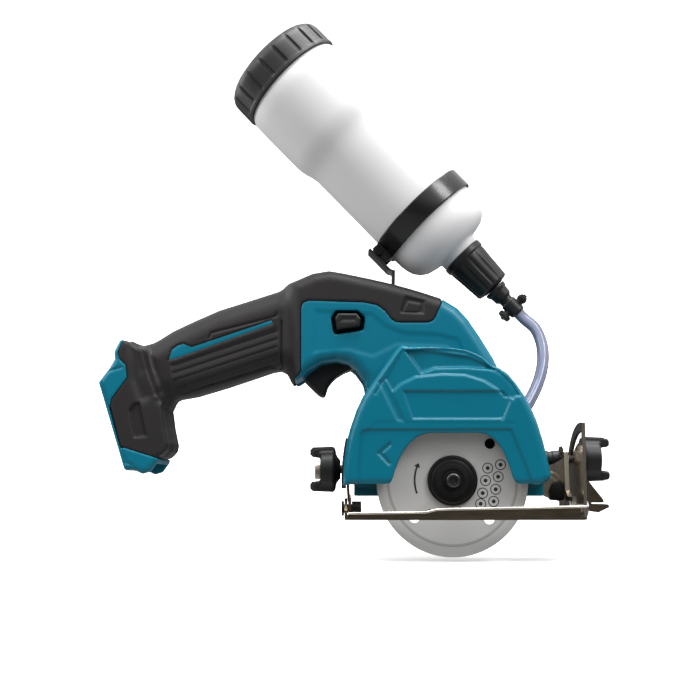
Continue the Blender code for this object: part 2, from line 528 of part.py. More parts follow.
bracket = plate("clamp_bracket", swept(111.6, 114.2, 182.5, 168.0, 8), 10.4, 29.6, BLACK, True)
arm = plate("bracket_arm", swept(79.0, 113.0, 177.0, 172.5, 4), 29.0, 33.0, None)
join(bracket, arm)
cut(bracket, rod("clamp_way", 3.0, -80, -40, (0, CLAMP_D, CLAMP_Z), (1, 0, 0), n=20))
NOZ = (42.5, 52.0)
nozzle = block("water_nozzle", 37.0, 47.5, 10.4, 21.0, 44.0, 57.6, BLACK)
cut(nozzle, rod("nozzle_way", 2.0, -12, 12, (NOZ[0], 16.0, 54.0), (0, 0, 1), n=12))

# --- Trigger, switch and buttons --------------------------------------------------------------------------------------
TRIG = [
    (-85.0, 82.0), (-80.9, 76.6), (-77.6, 73.4), (-75.2, 71.5), (-73.4, 71.0), (-72.1, 71.7), (-71.2, 74.6), (-70.0, 77.6), (-66.4, 81.8),
    (-61.0, 85.3), (-55.7, 87.4), (-52.6, 89.0), (-51.4, 92.0), (-52.4, 95.4), (-56.0, 97.0), (-78.0, 97.0), (-83.6, 92.6),
]
TPIN = (-56.0, 0.0, 92.6)
trig = rings(
    "trigger",
    [[point(x, MID_D + d, z) for x, z in inset(TRIG, by)] for by, d in ((1.6, -7.0), (0.4, -6.2), (0, -5.0), (0, 5.0), (0.4, 6.2), (1.6, 7.0))],
    BLACK, True, origin=(TPIN[0], MID_D, TPIN[2]),
)
cut(trig, rod("trigger_bore", around(1.5, 16, 0.08), -10, 10, (TPIN[0], MID_D, TPIN[2]), (0, 1, 0), n=16))
rod("trigger_pin", 1.5, -21.5, 21.5, (TPIN[0], MID_D, TPIN[2]), (0, 1, 0), STEEL, 16)
pin_seat = rod("trigger_pin_seat", around(1.5, 16, 0.1), -21.8, 21.8, (TPIN[0], MID_D, TPIN[2]), (0, 1, 0), n=16)
cut(right, pin_seat)
cut(left, pin_seat)
block("switch_unit", -86.0, -54.0, MID_D - 7.0, MID_D + 9.0, 100.4, 122.0, BLACK)
lock = rings(
    "lock_off_button",
    [[point(x, d, z) for x, z in inset(LOCK, by)] for by, d in ((1.6, 11.0), (0.5, 11.6), (0, 12.6), (0, 24.0))],
    BLACK, True,
)
turned(
    "shaft_lock",
    [(0, 27.0), (1.4, 27.0), (1.4, 43.2), (4.6, 43.2), (4.6, 46.6), (4.0, 47.2), (0, 47.2)],
    (LOCK_PIN[0], 0, LOCK_PIN[1]), (0, 1, 0), STEEL, 16,
)

# --- Tank ---------------------------------------------------------------------------------------------------------------
DOWN = math.radians(TANK_DOWN)
TA = (math.cos(DOWN), 0.0, -math.sin(DOWN))  # along the bottle, from the cap to its neck
TN = (math.sin(DOWN), 0.0, math.cos(DOWN))  # square to it, up and forward
T0 = (TANK_X, MID_D, TANK_Z)


def on_tank(s, n=0.0):
    return (TANK_X + TA[0] * s + TN[0] * n, TANK_Z + TA[2] * s + TN[2] * n)


CAP = [(0, -3.2), (26.0, -2.6), (31.0, -0.6), (33.6, 2.6), (34.6, 7.0), (34.6, 17.2), (28.6, 17.2), (28.6, 6.0), (0, 6.0)]
turned("tank_cap", CAP, T0, TA, BLACK, 24, T0)
WALL = 1.8
outer = [(34.2, 20.6), (34.2, 59.0), (33.6, 62.0), (31.2, 71.5), (31.0, 140.0), (30.6, 148.0), (29.2, 154.0), (26.0, 158.6), (18.0, 161.6), (11.8, 163.0), (11.8, 178.0)]
inner = [(9.0, 178.0), (9.0, 162.0), (24.6, 156.8), (28.8, 147.0), (29.4, 71.5), (32.4, 59.0), (32.4, 24.0), (26.2, 22.0), (26.2, 8.6), (28.2, 8.6), (28.2, 17.6), (32.8, 17.6)]
turned("tank_bottle", outer + inner, T0, TA, BOTTLE, 20)
band = tube("tank_band", 31.5, 32.9, 126.3, 139.3, T0, TA, GLOSS, 28)
ear = plate("band_ear", [on_tank(127.5, -32.2), on_tank(138.5, -32.2), on_tank(138.5, -37.8), on_tank(127.5, -37.8)], MID_D - 7.5, MID_D + 7.5, None)
join(band, ear)
EAR = on_tank(131.0, -35.6)
cut(band, rod("ear_way", 1.9, -12, 12, (EAR[0], MID_D, EAR[1]), (0, 1, 0), n=16))
turned("clamp_screw", [(0, -10.2), (2.5, -10.2), (2.5, -8.3), (1.5, -8.3), (1.5, 9.0), (0, 9.0)], (EAR[0], MID_D, EAR[1]), (0, 1, 0), STEEL, 16)
t_top = 0.8
stay = [on_tank(126.0, -38.2), on_tank(143.6, -38.2), (-30.2, 146.8), (-30.8, 122.0), (-32.4, 122.0), (-31.9, 146.2), on_tank(142.8, -39.8), on_tank(126.0, -39.8)]
plate("tank_stay", stay, MID_D - 8.0, MID_D + 8.0, BLACK)

turned(
    "bottle_nut",
    [(12.2, 163.6), (13.2, 163.6), (13.2, 167.6), (12.9, 168.6), (10.9, 193.6), (6.2, 194.6), (4.2, 194.6), (4.2, 179.0), (12.2, 179.0)],
    T0, TA, BLACK, 24,
)
VALVE_S = 211.0
valve = turned("valve_body", [(1.6, 195.0), (6.9, 195.0), (6.4, 197.6), (5.4, 203.0), (4.0, 204.0), (4.0, 206.0), (4.8, 207.0), (4.8, 214.6), (3.4, 216.0), (1.6, 216.0)], T0, TA, BLACK, 16)
VC = on_tank(VALVE_S)
cut(valve, rod("valve_way", around(2.4, 20, 0.1), -12, 12, (VC[0], MID_D, VC[1]), TN, n=20))
turned(
    "valve_lever",
    [(0, -8.8), (3.4, -8.8), (3.9, -8.2), (3.9, -6.2), (2.4, -5.6), (2.4, 5.8), (3.0, 6.4), (3.0, 8.4), (2.2, 9.4), (0, 9.4)],
    (VC[0], MID_D, VC[1]), TN, BLACK, 14, (VC[0], MID_D, VC[1]),
)

# --- Water hose: a smooth curve from the valve down to the nozzle on the case ------------------------------------------------
ROUTE = [
    Vector((*on_tank(216.4), MID_D)), Vector((*on_tank(221.0), MID_D)), Vector((54.0, 112.6, 36.8)), Vector((57.2, 104.0, 34.6)), Vector((57.6, 94.6, 31.4)),
    Vector((55.6, 85.0, 27.6)), Vector((51.8, 75.6, 23.6)), Vector((46.8, 67.0, 19.2)), Vector((43.4, 62.0, 16.6)), Vector((42.6, 58.6, 16.0)),
]


def smooth_line(pts, per=4):
    """Points along a smooth curve through the given ones."""
    ends = [pts[0] * 2 - pts[1]] + pts + [pts[-1] * 2 - pts[-2]]
    out = []
    for i in range(1, len(ends) - 2):
        p0, p1, p2, p3 = ends[i - 1 : i + 3]
        for k in range(per):
            t = k / per
            out.append(0.5 * (2 * p1 + (p2 - p0) * t + (2 * p0 - 5 * p1 + 4 * p2 - p3) * t * t + (3 * p1 - p0 - 3 * p2 + p3) * t**3))
    return out + [pts[-1]]


path = smooth_line(ROUTE, 2)
cu = bpy.data.curves.new("water_hose", "CURVE")
cu.dimensions = "3D"
cu.bevel_depth = 3.5 * MM
cu.bevel_resolution = 3
cu.resolution_u = 1
cu.render_resolution_u = 0
cu.use_fill_caps = True
sp = cu.splines.new("POLY")
sp.points.add(len(path) - 1)
for q, p in zip(sp.points, path):
    q.co = (*point(p.x, p.z, p.y), 1)
hose = bpy.data.objects.new("water_hose", cu)
bpy.context.collection.objects.link(hose)
cu.materials.append(material("water_hose", *HOSE))

# --- Base frame: turns about the depth pin ------------------------------------------------------------------------------------
PIN = (PIVOT_X, MID_D, PIVOT_Z)
rod("depth_pin", 3.0, 14.0, 35.0, (PIVOT_X, 0, PIVOT_Z), (0, 1, 0), STEEL, 20)
front = plate_x("front_bracket", [(-6.0, 6.8), (-2.7, 3.3), (-1.45, 2.5), (0.0, 2.2), (34.5, 2.2), (35.5, 4.0), (35.5, 38.0), (32.0, 41.5), (20.0, 41.5), (16.5, 38.0), (14.0, 16.0), (6.0, 12.5), (-6.0, 12.5)], 66.0, 68.4, PLATED, origin=(PIVOT_X, 0, PIVOT_Z))
for k, (d0, d1) in enumerate(((16.4, 19.9), (29.1, 32.6))):
    join(front, plate(f"cheek_{k}", arc(PIVOT_X, PIVOT_Z, 7.0, 100, 260, 8) + [(60.0, 11.0), (67.0, 9.0), (67.0, 35.0), (60.0, 31.0)], d0, d1, None))
cut(front, rod("bolt_head_way", 5.3, 56, 65.8, (0, KNOB_D, KNOB_Z), (1, 0, 0), n=16))
cut(front, rod("cheek_way", around(3.0, 20, 0.08), 5, 40, (PIVOT_X, 0, PIVOT_Z), (0, 1, 0), n=20))
cut(front, rod("bevel_bolt_way", around(2.5, 20, 0.1), 60, 72, (0, KNOB_D, KNOB_Z), (1, 0, 0), n=20))
cut(front, rod("front_rivet_way", around(2.5, 20, 0.08), 60, 72, (0, BEVEL_D, BEVEL_Z), (1, 0, 0), n=20))

guide = plate("depth_guide", swept(GUIDE_R - 0.8, GUIDE_R + 0.8, 186.5, 149.0, 20), CLAMP_D - 7.5, CLAMP_D + 7.5, PLATED, origin=(PIVOT_X, 0, PIVOT_Z))
foot_plate = plate_x("guide_foot", [(-5.5, 5.9), (-2.9, 3.2), (-1.6, 2.3), (0.0, 1.9), (27.5, 1.9), (27.5, 13.5), (12.5, 13.5), (5.0, 11.8), (-5.5, 11.8)], -58.3, -56.6, None)
# the foot of the guide bends across to the bevel pivot
join(guide, foot_plate)
cut(guide, plate("guide_slot", swept(GUIDE_R - 4, GUIDE_R + 4, 182.0, 150.6, 16), CLAMP_D - 3.0, CLAMP_D + 3.0, None))
cut(guide, rod("rear_rivet_way", around(2.5, 20, 0.08), -65, -50, (0, BEVEL_D, BEVEL_Z), (1, 0, 0), n=20))

# --- Shoe: tilts about the bevel axis ------------------------------------------------------------------------------------------------
X0, X1, D0, D1 = SHOE_X0 - 1.8, SHOE_X1 - 0.6, SHOE_D0, SHOE_D1
base = [(X0 + 3, D0), (X1 - 3, D0), (X1 - 0.9, D0 + 0.9), (X1, D0 + 3), (X1, D1 - 6), (X1 - 6, D1), (X0 + 6, D1), (X0, D1 - 6), (X0, D0 + 3), (X0 + 0.9, D0 + 0.9)]
shoe = rings("shoe", [[point(x, d, z) for x, d in base] for z in (0.0, SHOE_T)], PLATED, origin=(0, BEVEL_D, BEVEL_Z))
lip = plate("near_lip", [(X0 + 3.4, 0.8), (X1 - 3.4, 0.8), (X1 - 3.4, 7.2), (46.0, 7.0), (30.0, 6.0), (-14.0, 5.9), (-18.0, 4.6), (X0 + 3.4, 4.2)], D0, D0 + 1.5, None)
join(shoe, lip)
join(shoe, plate_x("rear_lip", [(D0 + 3.4, 0.8), (33.0, 0.8), (33.0, 5.0), (28.0, 9.6), (8.0, 9.6), (5.0, 11.6), (-5.0, 11.6), (-8.0, 9.0), (D0 + 3.4, 5.0)], X0, X0 + 1.5, None))
cut(shoe, block("blade_slot", -47.0, 47.0, -9.0, 9.0, -3.0, 5.0))
cut(shoe, rod("rear_rivet_way2", around(2.5, 20, 0.08), -65, -50, (0, BEVEL_D, BEVEL_Z), (1, 0, 0), n=20))


def in_sector(r, deg):
    t = math.radians(deg)
    return (BEVEL_D + r * math.sin(t), BEVEL_Z + r * math.cos(t))


edge = [(-7.0, 0.0), (36.0, 0.0), (37.8, 20.0)] + [in_sector(48.0, 52 - 60 * i / 12) for i in range(13)]
sector = plate_x("bevel_sector", edge, 72.1, 73.9, PLATED, origin=(0, BEVEL_D, BEVEL_Z))
arc_slot = [in_sector(43.0, 49.5 - 55 * i / 12) for i in range(13)] + [in_sector(37.0, -5.5 + 55 * i / 12) for i in range(13)]
cut(sector, plate_x("sector_slot", arc_slot, 65, 80, None))
cut(sector, rod("front_rivet_way2", around(2.5, 20, 0.08), 65, 80, (0, BEVEL_D, BEVEL_Z), (1, 0, 0), n=20))
turned("front_rivet", [(0, 65.0), (4.2, 65.0), (4.2, 65.7), (2.5, 65.7), (2.5, 74.2), (4.2, 74.2), (4.2, 75.4), (0, 75.4)], (0, BEVEL_D, BEVEL_Z), (1, 0, 0), STEEL, 12)
turned("rear_rivet", [(0, -62.0), (4.2, -62.0), (4.2, -60.6), (2.5, -60.6), (2.5, -56.3), (4.1, -56.3), (4.1, -51.0), (0, -51.0)], (0, BEVEL_D, BEVEL_Z), (1, 0, 0), STEEL, 12)
sight = plate("sight_plate", [(74.2, 9.6), (78.2, 9.6), (79.4, 8.4), (88.6, 8.2), (89.2, 6.6), (83.0, 3.6), (78.0, 4.4), (76.6, 7.4), (74.2, 7.6)], 6.0, 20.0, PLATED, origin=(0, BEVEL_D, BEVEL_Z))
join(sight, plate("sight_rib", [(75.0, 9.0), (87.2, 9.0), (87.2, 10.6), (76.0, 25.0), (74.2, 25.0), (74.2, 9.0)], 11.6, 14.4, None))


# --- Knobs ---------------------------------------------------------------------------------------------------------------------------
def knob(name, d, z, x0, sign, look):
    """A round hub with two claws, turning about X; x0 is its inner face and sign the way it points."""
    at = (x0, d, z)
    hub = turned(name, [(0, 0), (5.0, 0), (6.4, 1.6), (9.2, 5.0), (9.6, 10.4), (8.8, 11.6), (0, 11.6)], at, (sign, 0, 0), look, 20, at)
    for k in (-1, 1):
        claw = plate(
            f"{name}_claw_{k}",
            [(x0 + sign * x, z + k * zz) for x, zz in ((4.2, 7.4), (16.0, 7.0), (17.4, 8.4), (17.4, 11.0), (15.8, 12.6), (5.4, 13.0), (3.8, 11.4))],
            d - 4.2, d + 4.2, None,
        )
        join(hub, claw)
    return hub


depth_knob = knob("depth_knob", CLAMP_D, CLAMP_Z, -62.8, -1, BLACK)
bevel_knob = knob("bevel_knob", KNOB_D, KNOB_Z, 74.3, 1, BLACK)
# each knob is moulded onto its bolt, whose square head lies behind the plate that it clamps
join(depth_knob, turned("depth_bolt", [(0, -68.0), (2.4, -68.0), (2.4, -55.6), (4.6, -55.6), (4.6, -51.6), (0, -51.6)], (0, CLAMP_D, CLAMP_Z), (1, 0, 0), None, 20))
join(bevel_knob, turned("bevel_bolt", [(0, 59.6), (4.6, 59.6), (4.6, 65.4), (2.4, 65.4), (2.4, 80.0), (0, 80.0)], (0, KNOB_D, KNOB_Z), (1, 0, 0), None, 20))
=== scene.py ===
"""Cordless wet tile saw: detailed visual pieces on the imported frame. Lengths below are millimetres; d is the depth behind
the middle plane of the blade, so that y = d - 14."""
import json
import math

import bmesh
import bpy
import numpy as np
from mathutils import Matrix, Vector


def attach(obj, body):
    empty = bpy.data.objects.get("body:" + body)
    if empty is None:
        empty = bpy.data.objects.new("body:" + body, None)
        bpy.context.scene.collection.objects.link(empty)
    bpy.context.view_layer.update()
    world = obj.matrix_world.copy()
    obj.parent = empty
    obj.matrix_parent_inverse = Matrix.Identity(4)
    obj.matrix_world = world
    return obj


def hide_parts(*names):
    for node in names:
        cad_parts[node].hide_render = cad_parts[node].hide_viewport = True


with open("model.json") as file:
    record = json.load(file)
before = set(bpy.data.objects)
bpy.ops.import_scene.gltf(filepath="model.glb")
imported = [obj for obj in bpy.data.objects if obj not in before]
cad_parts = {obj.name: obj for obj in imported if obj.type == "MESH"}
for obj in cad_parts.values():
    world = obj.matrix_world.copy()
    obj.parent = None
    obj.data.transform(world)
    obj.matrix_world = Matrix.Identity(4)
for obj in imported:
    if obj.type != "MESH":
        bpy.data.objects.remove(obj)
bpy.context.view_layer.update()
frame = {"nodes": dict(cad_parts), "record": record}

MM = 0.001
AXLE_Z = 21.5
MID = 38.0
MOTOR = (-6.0, 51.5)
PIVOT = (52.0, 22.0)
DOWN = math.radians(46.2)
TA = Vector((math.cos(DOWN), 0.0, -math.sin(DOWN)))
TN = Vector((math.sin(DOWN), 0.0, math.cos(DOWN)))
T0 = Vector((-104.8, 24.0, 277.7))  # already in y, not d


def V(x, d, z):
    return Vector((x * MM, (d - 14.0) * MM, z * MM))


# ---------------------------------------------------------------------------------------------- materials
def nodes_of(m):
    nt = m.node_tree
    return nt, nt.nodes["Principled BSDF"]


def mat(name, col, rough, metal=0.0, vary=0.10, vscale=60.0, grain=0.03, gscale=2200.0, rvar=0.06, tint=None, coat=0.0, edge_lighten=0.0,
        stretch=None, subsurf=0.0, spec=0.5, dist=0.0004):
    """Painted, moulded or metal surface: slow colour drift (stretched into painted reflection streaks on the plated
    metals), fine grain in bump and roughness, a lighter colour on the convex edges.
    """
    m = bpy.data.materials.new(name)
    m.use_nodes = True
    nt, b = nodes_of(m)
    b.inputs["Metallic"].default_value = metal
    b.inputs["Specular IOR Level"].default_value = spec
    if coat:
        b.inputs["Coat Weight"].default_value = coat
        b.inputs["Coat Roughness"].default_value = 0.12
    if subsurf:
        b.inputs["Subsurface Weight"].default_value = subsurf
        b.inputs["Subsurface Radius"].default_value = (0.02, 0.02, 0.02)
        b.inputs["Subsurface Scale"].default_value = 0.4
    tc = nt.nodes.new("ShaderNodeTexCoord")
    mp = nt.nodes.new("ShaderNodeMapping")
    # stretch squeezes the noise into streaks; on the plated metals the stretched colour drift is a painted reflection
    if stretch:
        mp.inputs["Scale"].default_value = stretch
    nt.links.new(tc.outputs["Object"], mp.inputs["Vector"])
    slow = nt.nodes.new("ShaderNodeTexNoise")
    slow.inputs["Scale"].default_value = vscale
    slow.inputs["Detail"].default_value = 4.0
    nt.links.new(mp.outputs[0], slow.inputs["Vector"])
    ramp = nt.nodes.new("ShaderNodeMix")
    ramp.data_type = "RGBA"
    other = tint if tint else tuple(min(1.0, c * (1.0 + vary) + 0.01 * vary) for c in col)
    ramp.inputs[6].default_value = (*[c * (1.0 - vary) for c in col], 1)
    ramp.inputs[7].default_value = (*other, 1)
    nt.links.new(slow.outputs["Fac"], ramp.inputs[0])
    colour = ramp.outputs[2]
    # lighter colour on the convex edges, found from pointiness
    if edge_lighten:
        geo = nt.nodes.new("ShaderNodeNewGeometry")
        edge = nt.nodes.new("ShaderNodeMapRange")
        edge.inputs["From Min"].default_value = 0.53
        edge.inputs["From Max"].default_value = 0.62
        nt.links.new(geo.outputs["Pointiness"], edge.inputs["Value"])
        amount = nt.nodes.new("ShaderNodeMath")
        amount.operation = "MULTIPLY"
        amount.inputs[1].default_value = edge_lighten
        nt.links.new(edge.outputs[0], amount.inputs[0])
        mix = nt.nodes.new("ShaderNodeMix")
        mix.data_type = "RGBA"
        mix.inputs[7].default_value = (*[min(1.0, c * 1.6 + 0.05) for c in col], 1)
        nt.links.new(amount.outputs[0], mix.inputs[0])
        nt.links.new(colour, mix.inputs[6])
        colour = mix.outputs[2]
    nt.links.new(colour, b.inputs["Base Color"])
    fine = nt.nodes.new("ShaderNodeTexNoise")
    fine.inputs["Scale"].default_value = gscale
    fine.inputs["Detail"].default_value = 3.0
    nt.links.new(mp.outputs[0], fine.inputs["Vector"])
    rr = nt.nodes.new("ShaderNodeMapRange")
    rr.inputs["To Min"].default_value = max(0.02, rough - rvar)
    rr.inputs["To Max"].default_value = min(1.0, rough + rvar)
    nt.links.new(fine.outputs["Fac"], rr.inputs["Value"])
    nt.links.new(rr.outputs[0], b.inputs["Roughness"])
    bump = nt.nodes.new("ShaderNodeBump")
    bump.inputs["Strength"].default_value = min(1.0, grain * 8)
    bump.inputs["Distance"].default_value = dist * max(0.1, grain * 4)
    nt.links.new(fine.outputs["Fac"], bump.inputs["Height"])
    nt.links.new(bump.outputs[0], b.inputs["Normal"])
    return m


TEAL = mat("teal_shell", (0.0, 0.128, 0.195), 0.34, vary=0.05, vscale=25, grain=0.035, gscale=2600, tint=(0.0, 0.142, 0.214), edge_lighten=0.2, spec=0.24)
TEAL_GUARD = mat("teal_guard", (0.0, 0.124, 0.188), 0.30, vary=0.05, vscale=30, grain=0.03, gscale=2600, tint=(0.0, 0.137, 0.206), edge_lighten=0.25, spec=0.26)
RUBBER = mat("black_overmould", (0.0135, 0.0118, 0.0118), 0.5, vary=0.12, vscale=40, grain=0.08, gscale=3200, rvar=0.08, edge_lighten=0.2, spec=0.28)
BLACK = mat("black_moulding", (0.008, 0.008, 0.0085), 0.42, vary=0.12, vscale=60, grain=0.05, gscale=3000, edge_lighten=0.25, spec=0.32)
MATT = mat("flange_black", (0.004, 0.004, 0.004), 0.5, vary=0.2, vscale=90, grain=0.03, gscale=1600, spec=0.16)
GLOSS = mat("black_gloss", (0.005, 0.005, 0.006), 0.28, vary=0.2, vscale=80, grain=0.01, gscale=900, coat=0.12, spec=0.4)
CAPMAT = mat("cap_moulding", (0.011, 0.011, 0.0115), 0.46, vary=0.15, vscale=70, grain=0.09, gscale=2400, edge_lighten=0.3)
BOTTLE = mat("bottle_plastic", (0.70, 0.70, 0.72), 0.45, vary=0.025, vscale=18, grain=0.015, gscale=800, tint=(0.72, 0.71, 0.71), subsurf=0.5, spec=0.18)
# plated steel: the dark brown to bright colour drift, stretched along x, paints reflection streaks
PLATED = mat("plated_steel", (0.26, 0.20, 0.13), 0.2, 1.0, vary=0.18, vscale=70, grain=0.02, gscale=500, rvar=0.08, tint=(0.46, 0.38, 0.28), stretch=(0.15, 1, 1))
BOLT = mat("bolt_steel", (0.085, 0.085, 0.085), 0.3, 1.0, vary=0.15, vscale=200, grain=0.03, gscale=1600, edge_lighten=0.5)
# lighter plated steel: the colour drift, stretched along z, paints reflection streaks
PLATED_LIGHT = mat("plated_steel_light", (0.50, 0.44, 0.35), 0.24, 1.0, vary=0.18, vscale=80, grain=0.02, gscale=500, rvar=0.08, tint=(0.70, 0.63, 0.53), stretch=(1, 1, 0.2))
NICKEL = mat("nickel", (0.62, 0.58, 0.52), 0.16, 1.0, vary=0.12, vscale=120, grain=0.015, gscale=900, rvar=0.06)
STEEL = mat("ground_steel", (0.30, 0.30, 0.295), 0.3, 1.0, vary=0.1, vscale=120, grain=0.02, gscale=900, rvar=0.1)
DARKSTEEL = mat("dark_steel", (0.05, 0.045, 0.04), 0.4, 0.6, vary=0.2, vscale=150, grain=0.03, gscale=1500, edge_lighten=0.3)
CAST = mat("cast_alloy", (0.42, 0.43, 0.44), 0.5, 1.0, vary=0.12, vscale=200, grain=0.08, gscale=1800, rvar=0.12)
COPPER = mat("copper", (0.6, 0.28, 0.13), 0.35, 1.0, vary=0.15, vscale=150, grain=0.02, gscale=1200)
PAINTED = mat("black_paint", (0.01, 0.01, 0.01), 0.35, vary=0.2, vscale=90, grain=0.03, gscale=1600, coat=0.3)


def blade_material():
    """Steel core ground in circles with a bonded diamond rim and thin etched rings."""
    m = bpy.data.materials.new("diamond_disc")
    m.use_nodes = True
    nt, b = nodes_of(m)
    b.inputs["Metallic"].default_value = 0.35
    tc = nt.nodes.new("ShaderNodeTexCoord")
    sep = nt.nodes.new("ShaderNodeSeparateXYZ")
    nt.links.new(tc.outputs["Object"], sep.inputs[0])

    def op(kind, a, c=None, val=None):
        n = nt.nodes.new("ShaderNodeMath")
        n.operation = kind
        nt.links.new(a, n.inputs[0])
        if c is not None:
            nt.links.new(c, n.inputs[1])
        elif val is not None:
            n.inputs[1].default_value = val
        return n.outputs[0]

    z = op("SUBTRACT", sep.outputs["Z"], val=AXLE_Z * MM)
    r = op("SQRT", op("ADD", op("MULTIPLY", sep.outputs["X"], sep.outputs["X"]), op("MULTIPLY", z, z)))
    ring = nt.nodes.new("ShaderNodeCombineXYZ")
    nt.links.new(op("MULTIPLY", r, val=1.0), ring.inputs[0])
    fine = nt.nodes.new("ShaderNodeTexNoise")
    fine.inputs["Scale"].default_value = 1800.0
    fine.inputs["Detail"].default_value = 5.0
    nt.links.new(ring.outputs[0], fine.inputs["Vector"])
    grit = nt.nodes.new("ShaderNodeTexNoise")
    grit.inputs["Scale"].default_value = 2600.0
    nt.links.new(tc.outputs["Object"], grit.inputs["Vector"])
    ramp = nt.nodes.new("ShaderNodeValToRGB")
    rs = op("MULTIPLY", r, val=1000.0 / 43.0)
    nt.links.new(rs, ramp.inputs[0])
    el = ramp.color_ramp.elements
    core, line, rim = (0.58, 0.58, 0.57, 1), (0.25, 0.25, 0.25, 1), (0.64, 0.64, 0.63, 1)
    el[0].position, el[0].color = 0.0, core
    el[1].position, el[1].color = 1.0, rim
    for pos, col in ((0.822, core), (0.828, line), (0.834, (0.52, 0.52, 0.51, 1)), (0.850, line), (0.856, rim)):
        e = el.new(pos)
        e.color = col
    mix = nt.nodes.new("ShaderNodeMix")
    mix.data_type = "RGBA"
    mix.blend_type = "MULTIPLY"
    mix.inputs[0].default_value = 0.35
    nt.links.new(ramp.outputs[0], mix.inputs[6])
    nt.links.new(fine.outputs["Fac"], mix.inputs[7])
    nt.links.new(mix.outputs[2], b.inputs["Base Color"])
    rough = nt.nodes.new("ShaderNodeMapRange")
    rough.inputs["To Min"].default_value = 0.36
    rough.inputs["To Max"].default_value = 0.56
    nt.links.new(fine.outputs["Fac"], rough.inputs["Value"])
    nt.links.new(rough.outputs[0], b.inputs["Roughness"])
    both = op("ADD", fine.outputs["Fac"], grit.outputs["Fac"])
    bump = nt.nodes.new("ShaderNodeBump")
    bump.inputs["Strength"].default_value = 0.3
    bump.inputs["Distance"].default_value = 0.00006
    nt.links.new(both, bump.inputs["Height"])
    nt.links.new(bump.outputs[0], b.inputs["Normal"])
    return m


BLADE = blade_material()


def hose_material():
    """Clear vinyl hose: colour set by how squarely the surface faces the view, a painted bright middle and highlight
    band with painted shade towards the edges.
    """
    m = bpy.data.materials.new("clear_vinyl")
    m.use_nodes = True
    nt, b = nodes_of(m)
    b.inputs["Transmission Weight"].default_value = 0.05
    b.inputs["IOR"].default_value = 1.35
    b.inputs["Coat Weight"].default_value = 0.2
    # view-facing ramp: painted highlight in the middle and a bright band, painted shade darkening towards the edges
    lw = nt.nodes.new("ShaderNodeLayerWeight")
    lw.inputs["Blend"].default_value = 0.35
    ramp = nt.nodes.new("ShaderNodeValToRGB")
    nt.links.new(lw.outputs["Facing"], ramp.inputs[0])
    el = ramp.color_ramp.elements
    el[0].position, el[0].color = 0.0, (0.30, 0.33, 0.45, 1)
    el[1].position, el[1].color = 1.0, (0.05, 0.06, 0.12, 1)
    for pos, col in ((0.16, (0.13, 0.15, 0.24, 1)), (0.30, (0.22, 0.25, 0.37, 1)), (0.42, (0.07, 0.08, 0.16, 1)), (0.6, (0.04, 0.05, 0.10, 1))):
        el.new(pos).color = col
    tc = nt.nodes.new("ShaderNodeTexCoord")
    n = nt.nodes.new("ShaderNodeTexNoise")
    n.inputs["Scale"].default_value = 160.0
    nt.links.new(tc.outputs["Object"], n.inputs["Vector"])
    mix = nt.nodes.new("ShaderNodeMix")
    mix.data_type = "RGBA"
    mix.blend_type = "MULTIPLY"
    mix.inputs[0].default_value = 0.18
    nt.links.new(ramp.outputs[0], mix.inputs[6])
    nt.links.new(n.outputs["Color"], mix.inputs[7])
    nt.links.new(mix.outputs[2], b.inputs["Base Color"])
    rr = nt.nodes.new("ShaderNodeMapRange")
    rr.inputs["To Min"].default_value = 0.08
    rr.inputs["To Max"].default_value = 0.22
    nt.links.new(n.outputs["Fac"], rr.inputs["Value"])
    nt.links.new(rr.outputs[0], b.inputs["Roughness"])
    return m


HOSE = hose_material()


# ---------------------------------------------------------------------------------------------- mesh code
def put(name, me, material, body, nodes=()):
    ob = bpy.data.objects.new(name, me)
    bpy.context.collection.objects.link(ob)
    me.materials.append(material)
    if nodes:
        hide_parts(*nodes)
    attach(ob, body)
    return ob


def smooth(me, angle=40):
    me.shade_smooth()
    me.set_sharp_from_angle(angle=math.radians(angle))


def poly(pts, x, z):
    """Signed distance to a polygon in two dimensions, negative inside."""
    p = [tuple(map(float, q)) for q in pts]
    best = np.full(x.shape, 1e9)
    sign = np.ones(x.shape)
    for i in range(len(p)):
        (ax, az), (bx, bz) = p[i], p[i - 1]
        ex, ez = bx - ax, bz - az
        wx, wz = x - ax, z - az
        t = np.clip((wx * ex + wz * ez) / (ex * ex + ez * ez), 0, 1)
        best = np.minimum(best, (wx - ex * t) ** 2 + (wz - ez * t) ** 2)
        c1, c2, c3 = z >= az, z < bz, ex * wz > ez * wx
        sign = np.where((c1 & c2 & c3) | (~c1 & ~c2 & ~c3), -sign, sign)
    return sign * np.sqrt(best)


def line(pts, x, z):
    """Distance to an open line."""
    best = np.full(x.shape, 1e9)
    for (ax, az), (bx, bz) in zip(pts, pts[1:]):
        ex, ez = bx - ax, bz - az
        wx, wz = x - ax, z - az
        t = np.clip((wx * ex + wz * ez) / (ex * ex + ez * ez), 0, 1)
        best = np.minimum(best, (wx - ex * t) ** 2 + (wz - ez * t) ** 2)
    return np.sqrt(best)


def curve(pts, per=4, closed=True):
    """A smooth line through the points."""
    p = [np.array(q, float) for q in pts]
    n = len(p)
    out = []
    for i in range(n if closed else n - 1):
        if closed:
            a, b, c, d = p[i - 1], p[i], p[(i + 1) % n], p[(i + 2) % n]
        else:
            a, b, c, d = p[max(i - 1, 0)], p[i], p[i + 1], p[min(i + 2, n - 1)]
        for k in range(per):
            t = k / per
            out.append(tuple(0.5 * (2 * b + (c - a) * t + (2 * a - 5 * b + 4 * c - d) * t * t + (3 * b - a - 3 * c + d) * t**3)))
    if not closed:
        out.append(tuple(p[-1]))
    return out


def smin(a, b, k):
    h = np.clip(0.5 + 0.5 * (b - a) / k, 0, 1)
    return b + (a - b) * h - k * h * (1 - h)


def smax(a, b, k):
    return -smin(-a, -b, k)


def step(e0, e1, v):
    t = np.clip((v - e0) / (e1 - e0), 0, 1)
    return t * t * (3 - 2 * t)


